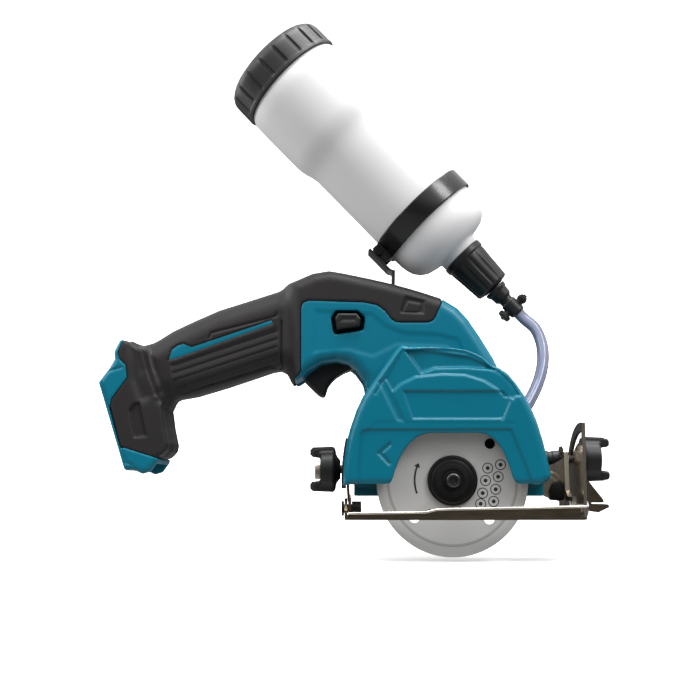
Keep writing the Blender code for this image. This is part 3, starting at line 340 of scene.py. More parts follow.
class Grid:
    def __init__(self, x0, x1, d0, d1, z0, z1, h):
        self.h, self.lo = h, (x0, d0, z0)
        self.x = np.arange(x0, x1 + h, h)
        self.d = np.arange(d0, d1 + h, h)
        self.z = np.arange(z0, z1 + h, h)
        self.X, self.Z = np.meshgrid(self.x, self.z, indexing="ij")
        self.D = self.d[None, :, None]

    def up(self, f):
        return f[:, None, :]

    def poly(self, pts):
        return poly(pts, self.X, self.Z)

    def slab(self, f2, d0, d1, r):
        """An outline's distance made solid between two depths, with rounded edges."""
        a = self.up(f2) + r
        b = np.abs(self.D - (d0 + d1) / 2) - (d1 - d0) / 2 + r
        return np.minimum(np.maximum(a, b), 0) + np.hypot(np.maximum(a, 0), np.maximum(b, 0)) - r

    def box(self, x0, x1, d0, d1, z0, z1, r=0.0):
        a = np.abs(self.X - (x0 + x1) / 2)[:, None, :] - (x1 - x0) / 2 + r
        b = np.abs(self.D - (d0 + d1) / 2) - (d1 - d0) / 2 + r
        c = np.abs(self.Z - (z0 + z1) / 2)[:, None, :] - (z1 - z0) / 2 + r
        out = np.sqrt(np.maximum(a, 0) ** 2 + np.maximum(b, 0) ** 2 + np.maximum(c, 0) ** 2)
        return out + np.minimum(np.maximum(np.maximum(a, b), c), 0) - r

    def mesh(self, name, field, sharp=40):
        """Closed surface where the field is zero, with one point in each cell that the surface crosses."""
        f = np.pad(field, 1, constant_values=5.0)
        s = f < 0
        nx, ny, nz = f.shape
        corner = [(i, j, k) for i in (0, 1) for j in (0, 1) for k in (0, 1)]
        view = lambda arr, c: arr[c[0] : nx - 1 + c[0], c[1] : ny - 1 + c[1], c[2] : nz - 1 + c[2]]
        count = sum(view(s, c).astype(np.int8) for c in corner)
        active = (count > 0) & (count < 8)
        cells = np.argwhere(active)
        index = np.full(active.shape, -1, np.int64)
        index[active] = np.arange(len(cells))
        pos = np.zeros((len(cells), 3))
        weight = np.zeros(len(cells))
        vals = {c: f[cells[:, 0] + c[0], cells[:, 1] + c[1], cells[:, 2] + c[2]] for c in corner}
        for c in corner:
            for ax in range(3):
                if c[ax]:
                    continue
                e = list(c)
                e[ax] = 1
                a, b = vals[c], vals[tuple(e)]
                cross = (a < 0) != (b < 0)
                t = np.where(cross, a / np.where(cross, a - b, 1), 0)
                add = np.array(c, float)[None, :] + t[:, None] * np.eye(3)[ax][None, :]
                pos += np.where(cross[:, None], add, 0)
                weight += cross
        pos = pos / weight[:, None] + cells - 1.0
        quads = []
        for ax in range(3):
            u, w = [(1, 2), (2, 0), (0, 1)][ax]
            sl0 = [slice(1, n - 1) for n in (nx, ny, nz)]
            sl1 = list(sl0)
            sl0[ax], sl1[ax] = slice(0, [nx, ny, nz][ax] - 1), slice(1, [nx, ny, nz][ax])
            a, b = s[tuple(sl0)], s[tuple(sl1)]
            hit = np.argwhere(a != b)
            base = hit + 1
            base[:, ax] -= 1
            inside = a[tuple(hit.T)]
            eu, ew = np.eye(3, dtype=int)[u], np.eye(3, dtype=int)[w]
            q = np.stack([index[tuple((base - o).T)] for o in (eu * 0, eu, eu + ew, ew)], 1)
            q[~inside] = q[~inside][:, ::-1]
            quads.append(q)
        quads = np.concatenate(quads)
        co = (np.array(self.lo)[None, :] + pos * self.h - np.array([[0, 14.0, 0]])) * MM
        me = bpy.data.meshes.new(name)
        me.vertices.add(len(co))
        me.vertices.foreach_set("co", co.astype(np.float32).ravel())
        me.loops.add(quads.size)
        me.loops.foreach_set("vertex_index", quads.astype(np.int32).ravel())
        me.polygons.add(len(quads))
        me.polygons.foreach_set("loop_start", np.arange(0, quads.size, 4, dtype=np.int32))
        me.update(calc_edges=True)
        me.validate()
        smooth(me, sharp)
        return me


def lathe(name, profile, at, axis, n=96, wave=None, sharp=35):
    """A profile of (radius, height) turned about an axis from a point in metres; wave(angle, height) adds to the radius."""
    w = Vector(axis).normalized()
    e = w.orthogonal().normalized() if abs(w.y) < 0.99 else Vector((1, 0, 0))
    f = w.cross(e)
    c = Vector(at)
    bm = bmesh.new()
    loops = []
    for r, h in profile:
        if r < 1e-6:
            loops.append([bm.verts.new(c + w * h * MM)])
        else:
            row = []
            for i in range(n):
                t = 2 * math.pi * i / n
                rr = r + (wave(t, h, r) if wave else 0.0)
                row.append(bm.verts.new(c + w * h * MM + (e * math.cos(t) + f * math.sin(t)) * rr * MM))
            loops.append(row)
    whole = len(loops[0]) == 1 and len(loops[-1]) == 1
    for a, b in list(zip(loops, loops[1:])) + ([] if whole else [(loops[-1], loops[0])]):
        for i in range(n):
            j = (i + 1) % n
            if len(a) == 1 and len(b) == 1:
                continue
            if len(a) == 1:
                bm.faces.new((a[0], b[j], b[i]))
            elif len(b) == 1:
                bm.faces.new((a[i], a[j], b[0]))
            else:
                bm.faces.new((a[i], a[j], b[j], b[i]))
    bmesh.ops.recalc_face_normals(bm, faces=bm.faces)
    me = bpy.data.meshes.new(name)
    bm.to_mesh(me)
    bm.free()
    smooth(me, sharp)
    return me


def fillet(profile, r=0.5, n=3):
    """Rounds the corners of a profile that are sharp enough to show."""
    out = []
    for i, q in enumerate(profile):
        if i in (0, len(profile) - 1):
            out.append(q)
            continue
        a, b, c = Vector(profile[i - 1]), Vector(q), Vector(profile[i + 1])
        u, v = a - b, c - b
        if u.length < 1e-6 or v.length < 1e-6:
            continue
        k = min(r, u.length * 0.45, v.length * 0.45)
        p0, p1 = b + u.normalized() * k, b + v.normalized() * k
        if u.normalized().dot(v.normalized()) < -0.97:
            out.append(q)
            continue
        for j in range(n + 1):
            t = j / n
            out.append(tuple(p0 * (1 - t) ** 2 + b * 2 * t * (1 - t) + p1 * t * t))
    return out


def plate_mesh(name, outline, a, b, along="y", bevel=0.3, holes=()):
    """A flat plate with an outline, holes and small bevels. along is the axis that it is thick in: y (outline in X, Z),
    x (outline in d, Z) or z (outline in X, d)."""
    def place(p, q, t):
        if along == "y":
            return V(p, t, q)
        if along == "x":
            return V(t, p, q)
        return V(p, q, t)

    def solid(pts, t0, t1):
        bm = bmesh.new()
        lo = [bm.verts.new(place(p, q, t0)) for p, q in pts]
        hi = [bm.verts.new(place(p, q, t1)) for p, q in pts]
        n = len(pts)
        bm.faces.new(lo[::-1])
        bm.faces.new(hi)
        for i in range(n):
            bm.faces.new((lo[i], lo[(i + 1) % n], hi[(i + 1) % n], hi[i]))
        bmesh.ops.recalc_face_normals(bm, faces=bm.faces)
        me = bpy.data.meshes.new(name)
        bm.to_mesh(me)
        bm.free()
        return me

    me = solid(outline, a, b)
    ob = bpy.data.objects.new("tmp", me)
    bpy.context.collection.objects.link(ob)
    tools = []
    for k, h in enumerate(holes):
        t = bpy.data.objects.new(f"tmp_{k}", solid(h, min(a, b) - 2, max(a, b) + 2))
        bpy.context.collection.objects.link(t)
        tools.append(t)
        m = ob.modifiers.new("b", "BOOLEAN")
        m.object, m.operation, m.solver = t, "DIFFERENCE", "EXACT"
    if bevel:
        bv = ob.modifiers.new("bevel", "BEVEL")
        bv.width, bv.segments, bv.limit_method, bv.angle_limit = bevel * MM, 2, "ANGLE", math.radians(35)
    dg = bpy.context.evaluated_depsgraph_get()
    out = bpy.data.meshes.new_from_object(ob.evaluated_get(dg))
    out.name = name
    for t in tools + [ob]:
        bpy.data.objects.remove(t, do_unlink=True)
    smooth(out, 32)
    return out


def circle(cx, cz, r, n=24, a0=0, a1=360):
    k = n if a1 - a0 >= 360 else n + 1
    return [(cx + r * math.cos(math.radians(a0 + (a1 - a0) * i / n)), cz + r * math.sin(math.radians(a0 + (a1 - a0) * i / n))) for i in range(k)]


def joined(name, meshes):
    bm = bmesh.new()
    for me in meshes:
        bm.from_mesh(me)
    out = bpy.data.meshes.new(name)
    bm.to_mesh(out)
    bm.free()
    for me in meshes:
        bpy.data.meshes.remove(me)
    smooth(out, 35)
    return out


# ---------------------------------------------------------------------------------------------- housing and handle
BODY_TOP = [(-99.6, 133.8), (-90.6, 137.6), (-79.0, 142.2), (-69.4, 144.0), (-61.0, 142.6), (-46.0, 139.4), (-31.7, 136.1), (-17.9, 132.2),
            (-2.0, 127.0), (6.0, 122.0), (12.0, 115.4), (19.2, 104.5), (26.4, 92.7), (31.0, 82.0)]
FRONT = [(-90.0, 96.0), (-92.0, 136.2)] + BODY_TOP[2:] + [(31.5, 68.0), (29.0, 56.0), (24.5, 45.0), (16.5, 35.5), (5.0, 29.0), (-17.0, 28.5), (-28.0, 34.0),
         (-37.0, 44.0), (-43.5, 56.0), (-47.4, 67.0), (-48.2, 74.0), (-49.4, 79.5), (-54.0, 86.0), (-58.6, 89.4), (-65.6, 90.8), (-73.7, 89.5), (-81.7, 84.6), (-84.6, 81.4), (-88.1, 79.4), (-90.0, 80.2)]
HANDLE = [(-72.0, 142.6), (-79.0, 142.2), (-90.6, 137.6), (-99.6, 133.8), (-112.3, 129.7), (-135.4, 122.3), (-149.1, 116.2), (-162.9, 109.6), (-171.0, 104.4),
          (-180.5, 99.4), (-182.0, 82.0), (-176.0, 67.0), (-165.0, 66.6), (-161.5, 69.5), (-148.4, 71.8), (-130.2, 77.3), (-116.5, 81.9), (-104.0, 86.2), (-99.1, 87.2), (-94.5, 86.0), (-90.0, 81.0), (-86.0, 84.0), (-80.0, 92.0), (-72.0, 100.0)]
DARK = [(-220, 50), (-89.9, 50), (-89.9, 80.6), (-87.3, 82.6), (-86.0, 84.4), (-86.1, 121.4), (-84.9, 124.6), (-81.5, 126.0), (-49.4, 125.0), (-41.3, 123.3), (-36.7, 119.8),
        (-33.2, 115.1), (-31.0, 113.6), (-28.0, 113.0), (-12.5, 113.0), (-9.6, 113.9), (-8.0, 115.6), (-4.3, 123.8), (-2.0, 133.0), (-2.0, 170), (-220, 170)]
STRIPE = [(-102.8, 115.8), (-150.3, 99.6), (-152.6, 100.6), (-155.0, 101.7), (-158.6, 100.6), (-161.9, 98.2), (-164.0, 91.4), (-159.4, 92.4), (-102.8, 112.9)]
RIBS = [(-162.4, 89.6), (-158.5, 90.6), (-99.4, 111.6), (-98.9, 89.4), (-100.3, 87.0), (-104.0, 87.4), (-131.0, 79.0), (-155.5, 72.0), (-160.6, 72.6)]
PAD = [(-25.1, 128.5), (-13.5, 125.6), (-14.2, 118.0), (-28.0, 118.6)]
PAD_IN = [(-23.6, 125.2), (-16.2, 124.0), (-16.8, 118.9), (-26.6, 119.2)]
LOCK_HOLE = [(-66.6, 115.4), (-64.6, 118.8), (-53.2, 118.7), (-50.3, 115.3), (-51.0, 110.0), (-65.2, 107.8)]


def body_field(g, grow=0.0):
    front = g.slab(g.poly(FRONT) - grow, MID - 24.5 - grow, MID + 24.5 + grow, 7.0)
    handle = g.slab(g.poly(HANDLE) - grow, MID - 17.6 - grow, MID + 17.6 + grow, 13.0)
    return smin(front, handle, 9.0)


g = Grid(-184, 34, 11, 65, 26, 146, 0.7)
f = body_field(g)
dark = g.up(g.poly(DARK))
teal = smax(f, -dark + 0.12, 0.7)
core = body_field(g, -3.9)
teal = np.minimum(teal, core)
side = np.abs(g.D - MID)
teal = smax(teal, -g.slab(g.poly(LOCK_HOLE) - 1.2, 8, 30, 0.4), 0.9)
# a soft raised collar round the switch and a shallow hand recess behind the panel's edge
panel = g.up(g.poly([(-78, 121), (-44, 119), (-36, 112), (-26, 108), (-6, 107), (6, 104), (12, 90), (-2, 98), (-30, 99), (-44, 92), (-58, 96), (-80, 94)]))
teal = teal + 0.5 * step(0.5, -2.5, panel) * (side > 12)
teal = smax(teal, -(g.box(-92.0, -47.0, MID - 8.0, MID + 8.0, 66, 103)), 0.8)
teal = smax(teal, -(np.hypot((g.X - MOTOR[0])[:, None, :], (g.Z - MOTOR[1])[:, None, :]) - 23.6 + 0 * g.D + 100.0 * (g.D < 50)), 0.5)
# parting line
teal = teal + 0.35 * np.exp(-((g.D - MID) / 0.6) ** 2)
put("body_shell", g.mesh("body_shell", teal), TEAL, "housing", ("housing_right", "housing_left"))



def dark_part(g, skin):
    f = body_field(g, 0.35)
    dark = g.up(g.poly(DARK))
    rub = smax(f, dark + 0.05, 0.8)
    rub = smax(rub, -skin, 0.5)
    side = np.abs(g.D - MID)
    out = side > 7.0
    ribs = g.poly(RIBS)
    slope = math.tan(math.radians(18.4))
    v = (g.Z - 83.7) - slope * (g.X + 162.7)
    saw = np.mod(v, 4.6) / 4.6
    depth = 0.35 * step(0.2, -0.5, ribs) + (0.7 * saw + 0.45 * np.exp(-((np.minimum(saw, 1 - saw) * 4.6 / 0.55) ** 2))) * step(0.2, -1.4, ribs)
    rub = rub + g.up(depth) * out
    stripe = g.poly(STRIPE)
    rub = rub + g.up(0.9 * step(0.35, -0.1, stripe)) * out
    for path in ([(-100.5, 119.6), (-100.5, 117.8), (-103.0, 116.9), (-138.8, 107.6), (-140.2, 104.2)], [(-97.6, 114.5), (-97.4, 88.8), (-100.0, 85.8)]):
        rub = rub + g.up(0.95 * np.exp(-((line(path, g.X, g.Z) / 0.6) ** 2))) * out
    pad, pad_in = g.poly(PAD), g.poly(PAD_IN)
    rub = rub + g.up(1.1 * step(0.4, -0.9, pad) - 0.8 * step(0.3, -0.6, pad_in)) * out
    rub = smax(rub, -(g.box(-92.0, -47.0, MID - 8.0, MID + 8.0, 66, 103)), 0.8)
    return rub


g = Grid(-184, 0, 11, 65, 63, 147, 0.65)
inner = body_field(g, -3.6)
rub = dark_part(g, inner)
rub = smax(rub, -g.box(-34.4, -28.8, MID - 9.4, MID + 9.4, 128, 150, 0.5), 0.5)
put("handle_overmould", g.mesh("handle_overmould", rub), RUBBER, "housing", ("grip_right", "grip_left"))
gs = Grid(-166, -100, 18, 58, 88, 118, 0.6)
inlay = smax(body_field(gs, -0.25), gs.up(gs.poly(STRIPE)) + 0.1, 0.5)
inlay = smax(inlay, -body_field(gs, -2.4), 0.3)
put("handle_inlay", gs.mesh("handle_inlay", inlay), TEAL, "housing")

# ---------------------------------------------------------------------------------------------- battery foot
FOOT_REAR = [(-173.5, 103.0), (-176.6, 102.0), (-181.6, 101.1), (-184.9, 103.3), (-188.5, 105.1), (-191.8, 105.5), (-195.4, 103.3), (-197.6, 97.6), (-197.1, 93.4), (-198.8, 90.2), (-205.7, 81.0),
             (-198.5, 58.9), (-191.1, 36.2), (-188.7, 28.9), (-186.9, 27.0), (-181.4, 28.3), (-180.0, 26.2), (-175.9, 25.1), (-171.8, 26.2), (-169.2, 29.9), (-167.8, 33.4),
             (-183.0, 37.2), (-191.4, 62.0), (-197.0, 76.0), (-190.4, 83.8), (-189.0, 93.8), (-183.0, 97.4)]
FOOT_FRONT = [(-168.0, 105.6), (-175.8, 101.6), (-182.6, 97.6), (-188.4, 93.4), (-189.8, 83.6), (-196.4, 76.0), (-190.8, 62.2), (-182.4, 37.8), (-165.4, 34.0), (-161.4, 37.0), (-160.3, 41.6),
              (-161.8, 51.6), (-164.8, 62.6), (-164.3, 66.0), (-160.5, 69.2), (-163.0, 80.0), (-165.5, 95.0)]
up = Vector((-0.309, 0.951))
across = Vector((0.951, 0.309))


def in_foot(a, b):
    q = Vector((-176.2, 30.0)) + up * a + across * b
    return (q.x, q.y)


FOOT_ALL = [(-188.9, 103.6), (-191.4, 102.6), (-194.6, 96.2), (-194.2, 91.6), (-196.9, 86.8), (-203.2, 78.2), (-187.4, 28.4), (-186.2, 27.2), (-182.6, 27.8), (-180.6, 27.0), (-176.4, 25.2), (-171.9, 26.6), (-168.3, 31.6), (-167.2, 34.0),
            (-164.6, 34.8), (-161.4, 38.0), (-160.3, 42.5), (-162.8, 53.2), (-164.3, 63.0), (-162.4, 67.2), (-152.0, 73.0), (-152.0, 104.0), (-158.0, 109.4), (-168.0, 104.6), (-176.0, 100.6), (-179.8, 99.4), (-182.6, 101.6), (-186.0, 103.8)]
FOOT_BLACK = [(-188.0, 106.0), (-188.9, 103.4), (-192.0, 95.4), (-191.0, 91.6), (-187.3, 88.0), (-186.4, 80.6), (-195.4, 68.0), (-195.6, 63.6), (-189.3, 41.0), (-167.4, 34.1), (-150.0, 30.0), (-148.0, 120.0)]
g = Grid(-206, -148, 11, 65, 23, 112, 0.6)
slot = g.slab(g.poly([in_foot(-12, -7), in_foot(-12, 7), in_foot(47, 7), in_foot(47, -7)]), MID - 20, MID + 20, 0.5)
side = np.abs(g.D - MID)
all2, black2 = g.poly(FOOT_ALL), g.poly(FOOT_BLACK)
ends = g.poly([(-230, 0), (-230, 130), (-178.0, 130), (-177.6, 100), (-174.6, 86), (-169.0, 72.0), (-157.0, 64.0), (-150, 0)])
foot_all = smax(g.slab(all2 + 0.05, MID - 25, MID + 25, 3.4), g.up(ends), 6.0)
rear = smax(foot_all, -g.up(black2) + 0.08, 0.6)
rear = smax(rear, -slot, 0.5)
for path, w in (([(-201.0, 78.0), (-185.8, 31.6), (-182.0, 30.6)], 0.7), ([(-197.0, 84.4), (-189.6, 86.6)], 0.6)):
    rear = rear + g.up(0.7 * np.exp(-((line(path, g.X, g.Z) / w) ** 2))) * (side > 15)
rear = rear + 0.3 * np.exp(-((g.D - MID) / 0.6) ** 2)
put("foot_shell", g.mesh("foot_shell", rear), TEAL, "housing", ("foot_cover",))
hand = body_field(g, 0.0)
crest = np.exp(-((line([(-179.8, 101.0), (-177.6, 93.0), (-174.6, 84.0), (-169.4, 70.0)], g.X, g.Z) / 2.2) ** 2))
valley = np.exp(-((line([(-184.6, 101.0), (-182.4, 92.0), (-181.0, 80.0), (-177.0, 70.0)], g.X, g.Z) / 3.2) ** 2))
fall = step(-178.0, -160.0, g.X) * step(80.0, 66.0, g.Z)
block = foot_all + g.up(0.6 + 1.5 * valley - 0.9 * crest + 1.2 * fall) * step(8.0, 14.0, side)
flare = smin(block, hand, 7.0)
fr = smax(flare, g.up(black2) + 0.02, 0.6)
fr = smax(fr, g.up(ends) - 6.0, 0.3)
fr = smax(fr, -slot, 0.5)
recess = g.poly([(-182.4, 65.6), (-179.0, 66.6), (-174.4, 46.6), (-181.6, 46.2), (-184.8, 61.6)])
fr = fr + g.up(1.7 * step(0.4, -0.8, recess)) * (side > 14)
put("foot_overmould", g.mesh("foot_overmould", fr), RUBBER, "housing", ("foot_block",))

# ---------------------------------------------------------------------------------------------- trigger and switch
TRIG = [(-85.0, 82.0), (-80.9, 76.6), (-77.6, 73.4), (-75.2, 71.5), (-73.4, 71.0), (-72.1, 71.7), (-71.2, 74.6), (-70.0, 77.6), (-66.4, 81.8), (-61.0, 85.3), (-55.7, 87.4),
        (-52.6, 89.0), (-51.4, 92.0), (-52.4, 95.4), (-56.0, 97.0), (-78.0, 97.0), (-83.6, 92.6)]
g = Grid(-88, -49, 29, 47, 69, 99, 0.45)
t = g.slab(g.poly(curve(TRIG, 3)), MID - 6.9, MID + 6.9, 2.6)
t = t + 0.25 * np.exp(-((g.D - MID) / 0.5) ** 2)
put("trigger_grip", g.mesh("trigger_grip", t), BLACK, "trigger_set", ("trigger",))
LOCK = [(-66.0, 115.2), (-64.4, 118.0), (-53.4, 118.0), (-51.0, 115.0), (-51.6, 110.4), (-64.8, 108.4)]
g = Grid(-69, -48, 9, 26, 105, 121, 0.35)
t = g.slab(g.poly(LOCK) - 0.1, 11.0, 24.0, 1.5)
t = t + g.up(0.7 * step(0.5, -2.5, g.poly([(-63.6, 112.4), (-53.6, 112.8), (-53.2, 116.2), (-62.6, 116.4)]))) * (g.D < 14)
put("lock_off_pad", g.mesh("lock_off_pad", t), BLACK, "lock_off_set", ("lock_off_button",))

# ---------------------------------------------------------------------------------------------- blade case
CASE = [(-61.2, 18.4), (-61.2, 24.0), (-60.7, 31.0), (-59.9, 38.0), (-58.8, 44.5), (-57.2, 50.5), (-53.7, 60.5), (-50.2, 68.0), (-46.5, 73.5), (-39.4, 83.6), (-33.0, 92.6), (-30.4, 95.6), (-28.4, 97.0), (-26.0, 97.0),
        (-24.6, 96.4), (-12.0, 96.3), (0.7, 95.6), (8.0, 94.4), (13.6, 92.2), (17.0, 90.4), (19.0, 88.4), (22.4, 85.6), (26.4, 84.2), (31.0, 81.2), (35.8, 75.4), (41.1, 67.4), (44.4, 60.6), (47.1, 54.0), (50.4, 42.6), (53.0, 31.0), (54.3, 24.2), (53.6, 22.2), (48.6, 18.4)]
WINDOW = [(36.4, 10.0), (36.0, 18.0), (33.4, 20.6), (32.2, 24.0), (30.6, 29.3), (29.2, 33.0), (27.2, 37.6), (24.6, 41.6), (21.4, 44.8), (17.6, 46.8), (14.0, 47.3), (-13.0, 47.3), (-16.4, 46.6), (-20.0, 45.2), (-24.0, 41.6),
          (-27.6, 37.0), (-30.2, 31.8), (-32.4, 26.0), (-33.6, 21.8), (-34.6, 19.2), (-37.4, 17.6), (-37.4, 10.0)]
g = Grid(-62.5, 55.5, -12.27, 11, 11, 98.5, 0.55)
case2 = g.poly(CASE)
X, Z = g.X, g.Z
near = 0.0 * X
# height of the near face below its highest plane
ridge_zone = poly([(-26.6, 94.0), (-17.4, 81.0), (-10.0, 83.6), (7.1, 84.0), (16.0, 83.2), (24.6, 82.8), (17.0, 90.4), (8.0, 94.4), (-6, 96.0)], X, Z)
arc_pts = curve([(-33.4, 70.9), (-29.3, 74.7), (-20.7, 78.9), (-5.8, 80.4), (7.0, 79.9), (17.6, 76.6), (24.5, 72.2), (29.5, 67.6)], 5, closed=False)
dome = poly(arc_pts + [(33.4, 66.4), (27.0, 54.2), (-26.6, 54.2)], X, Z)
chevron = poly([(-27.0, 92.0), (-37.8, 77.9), (-27.3, 54.4), (-26.2, 55.0), (-34.1, 69.9), (-29.3, 74.7), (-20.7, 78.9), (-17.6, 80.0)], X, Z)
outerband = poly([(-70, 10), (-70, 110), (-30.0, 110), (-28.0, 95.4), (-38.9, 77.6), (-43.2, 68.0), (-47.0, 54.4), (-46.8, 50.2), (-52.6, 47.8), (-53.8, 26.5), (-54, 10)], X, Z)
logo_pad = poly([(-27.6, 70.9), (28.0, 70.9), (31.4, 66.6), (27.4, 56.4), (26.0, 55.6), (-22.4, 55.6)], X, Z)
lower = poly([(-47.6, 49.6), (-50.0, 49.1), (-51.6, 47.4), (-52.6, 26.5), (-52.8, 10), (46.8, 10), (40.0, 30.0), (33.6, 46.0), (32.1, 49.9)], X, Z)
strip = poly([(-43.2, 54.0), (34.2, 53.8), (32.3, 50.1), (-46.9, 49.9)], X, Z)
between = poly([(-27.6, 94.0), (-37.6, 78.0), (-33.6, 70.6), (-29.3, 74.7), (-20.7, 78.9), (-5.8, 80.4), (7.0, 79.9), (17.6, 76.6), (24.5, 72.2), (29.0, 68.4), (33.4, 67.2), (37.0, 68.6), (33.6, 75.0), (27.0, 81.8), (20.0, 85.4), (10.0, 90.0), (-10.0, 93.0)], X, Z)
near = near + 1.5 * step(0.8, -0.8, between)
near = near + 2.3 * step(0.6, -1.4, ridge_zone)
facet = poly([(-37.8, 78.2), (-27.3, 54.4), (-30.8, 54.4), (-41.4, 76.0)], X, Z)
near = near + 0.9 * step(1.2, -1.2, facet)
near = near + 1.1 * step(0.6, -0.6, logo_pad)
near = near + 0.2 * step(0.4, -0.5, strip)
near = near + 1.0 * step(0.6, -0.6, lower)
near = near + 0.7 * np.exp(-((line([(-27.0, 95.4), (-37.9, 79.0), (-43.0, 69.6)], X, Z) / 0.7) ** 2))
near = near + 0.8 * np.exp(-((line([(28.6, 68.4), (33.6, 66.6)], X, Z) / 0.6) ** 2)) + 0.8 * np.exp(-((line([(31.6, 65.6), (27.2, 55.0)], X, Z) / 0.6) ** 2))
arrow = poly([(-42.4, 36.6), (-34.6, 43.4), (-34.6, 40.6), (-39.0, 36.6), (-34.6, 30.8), (-35.8, 29.6)], X, Z)
near = near + 0.8 * step(0.3, -0.5, arrow)
near = np.maximum(near, 0) * (0.15 + 0.85 * step(-0.4, -2.4, case2))
# the face is a little crowned, and its long edges are turned over
r_edge = 4.6
a = g.up(case2) + r_edge
b = (-11.0 + g.up(near)) - g.D + r_edge
shell = np.minimum(np.maximum(a, b), 0) + np.hypot(np.maximum(a, 0), np.maximum(b, 0)) - r_edge
shell = smax(shell, g.D - 10.0, 1.0)
shell = smin(shell, g.box(-55.4, 52.4, 7.9, 10.0, 12.8, 26.0, 0.6), 0.6)
hollow2 = np.maximum(np.hypot(X, Z - AXLE_Z) - 45.6, -(Z + 5))
hollow2 = np.minimum(hollow2, poly([(-59.4, -5.0), (51.4, -5.0), (51.0, 25.0), (48.0, 41.0), (30.0, 60.0), (-30.0, 60.0), (-55.6, 48.0), (-58.4, 36.0), (-59.4, 24.0)], X, Z))
shell = smax(shell, -g.slab(hollow2, -8.4, 7.8, 0.8), 0.6)
wind = g.slab(g.poly(WINDOW), -16.0, -7.0, 0.3)
shell = smax(shell, -wind, 1.6)
shell = smax(shell, -g.box(-59.4, -55.0, 7.0, 12.0, -5.0, 25.5), 0.4)
shell = smax(shell, -(np.hypot(X, Z - AXLE_Z)[:, None, :] - 15.0 + 100.0 * (g.D < 4)), 0.5)
put("blade_guard", g.mesh("blade_guard", shell, 45), TEAL_GUARD, "housing", ("blade_case",))

# a matt black sheet over the inside of the guard's far wall, behind the blade: painted shade inside the guard, seen
# through the blade's upper hole
shade_sheet_outline = [(44.2 * math.cos(math.radians(a)), AXLE_Z + 44.2 * math.sin(math.radians(a))) for a in range(4, 177, 4)] + [(15.6 * math.cos(math.radians(a)), AXLE_Z + 15.6 * math.sin(math.radians(a))) for a in range(176, 3, -8)]
put("guard_shade_sheet", plate_mesh("guard_shade_sheet", shade_sheet_outline, 6.9, 7.7, bevel=0.2), MATT, "housing")

# ---------------------------------------------------------------------------------------------- motor
mp = V(MOTOR[0], 0, MOTOR[1])
motor = lathe("motor_can", fillet([(22.9, 58.0), (24.8, 58.0), (24.8, 72.0), (24.2, 72.8), (24.2, 74.4), (24.8, 75.2), (24.8, 100.0), (24.2, 100.8), (24.2, 102.2), (24.8, 103.0), (24.8, 127.7), (22.9, 127.7)], 0.5), mp, (0, 1, 0), 96)
ob = put("motor_can", motor, TEAL, "housing", ("motor_case",))


def slots(ob, count, phase, r0, r1, half, d0, d1, name):
    bm = bmesh.new()
    for k in range(count):
        t = math.radians(phase + 360 / count * k)
        c, s = math.cos(t), math.sin(t)
        pts = [(MOTOR[0] + r * c - w * s, MOTOR[1] + r * s + w * c) for r, w in ((r0, -half), (r1, -half), (r1, half), (r0, half))]
        lo = [bm.verts.new(V(x, d0, z)) for x, z in pts]
        hi = [bm.verts.new(V(x, d1, z)) for x, z in pts]
        bm.faces.new(lo[::-1])
        bm.faces.new(hi)
        for i in range(4):
            bm.faces.new((lo[i], lo[(i + 1) % 4], hi[(i + 1) % 4], hi[i]))
    bmesh.ops.recalc_face_normals(bm, faces=bm.faces)
    me = bpy.data.meshes.new(name)
    bm.to_mesh(me)
    bm.free()
    tool = bpy.data.objects.new(name, me)
    bpy.context.collection.objects.link(tool)
    m = ob.modifiers.new("cut", "BOOLEAN")
    m.object, m.operation, m.solver = tool, "DIFFERENCE", "EXACT"
    dg = bpy.context.evaluated_depsgraph_get()
    out = bpy.data.meshes.new_from_object(ob.evaluated_get(dg))
    ob.modifiers.clear()
    old = ob.data
    ob.data = out
    bpy.data.meshes.remove(old)
    smooth(out, 35)
    bpy.data.objects.remove(tool, do_unlink=True)


slots(ob, 24, 7.5, 20, 30, 1.3, 106.0, 120.0, "vent_cutter")
end = lathe("motor_end", fillet([(0, 150.0), (12.0, 150.0), (19.0, 148.6), (23.4, 145.2), (24.8, 140.0), (24.8, 128.0), (22.8, 128.0), (22.8, 139.0), (20.5, 144.0), (17.5, 146.0), (10.5, 147.0), (10.5, 124.0), (8.2, 121.4), (8.2, 116.6), (6.56, 116.6), (6.56, 121.3), (4.0, 123.0), (0, 123.0)], 0.8), mp, (0, 1, 0), 96)
ob = put("motor_end", end, RUBBER, "housing", ("motor_end_cover",))
slots(ob, 12, 0, 13.4, 18.4, 1.2, 140, 156, "end_cutter")

# ---------------------------------------------------------------------------------------------- tank
t0 = T0 * MM
outer = [(34.2, 20.6), (34.3, 30.0), (34.3, 56.0), (34.0, 60.0), (33.1, 64.0), (31.9, 68.0), (31.2, 72.0), (31.1, 78.0), (31.1, 120.0), (31.1, 140.0), (30.9, 146.0), (30.3, 150.0), (29.0, 154.0), (26.4, 157.6), (22.4, 160.2), (17.0, 161.6), (13.8, 162.2), (12.9, 163.2), (12.9, 166.3), (10.6, 166.5), (10.6, 178.0)]
inner = [(9.0, 178.0), (9.0, 162.0), (16.0, 159.8), (24.6, 155.8), (28.6, 147.0), (29.4, 71.5), (32.4, 59.0), (32.4, 24.0), (26.2, 22.0), (26.2, 8.6), (28.2, 8.6), (28.2, 17.6), (32.8, 17.6)]
put("bottle", lathe("bottle", outer + inner, t0, TA, 128, sharp=50), BOTTLE, "housing", ("tank_bottle",))


def cap_wave(t, h, r):
    if r < 30 or h < 1.0 or h > 15.6:
        return 0.0
    k = (math.degrees(t) / 360 * 20) % 1.0
    rib = 1 - min(1, max(0, (abs(k - 0.5) - 0.37) / 0.07))
    fade = min(1, (h - 1.0) / 2.2) * min(1, (15.6 - h) / 1.4)
    return -1.2 * (1 - rib) * max(0.0, fade)


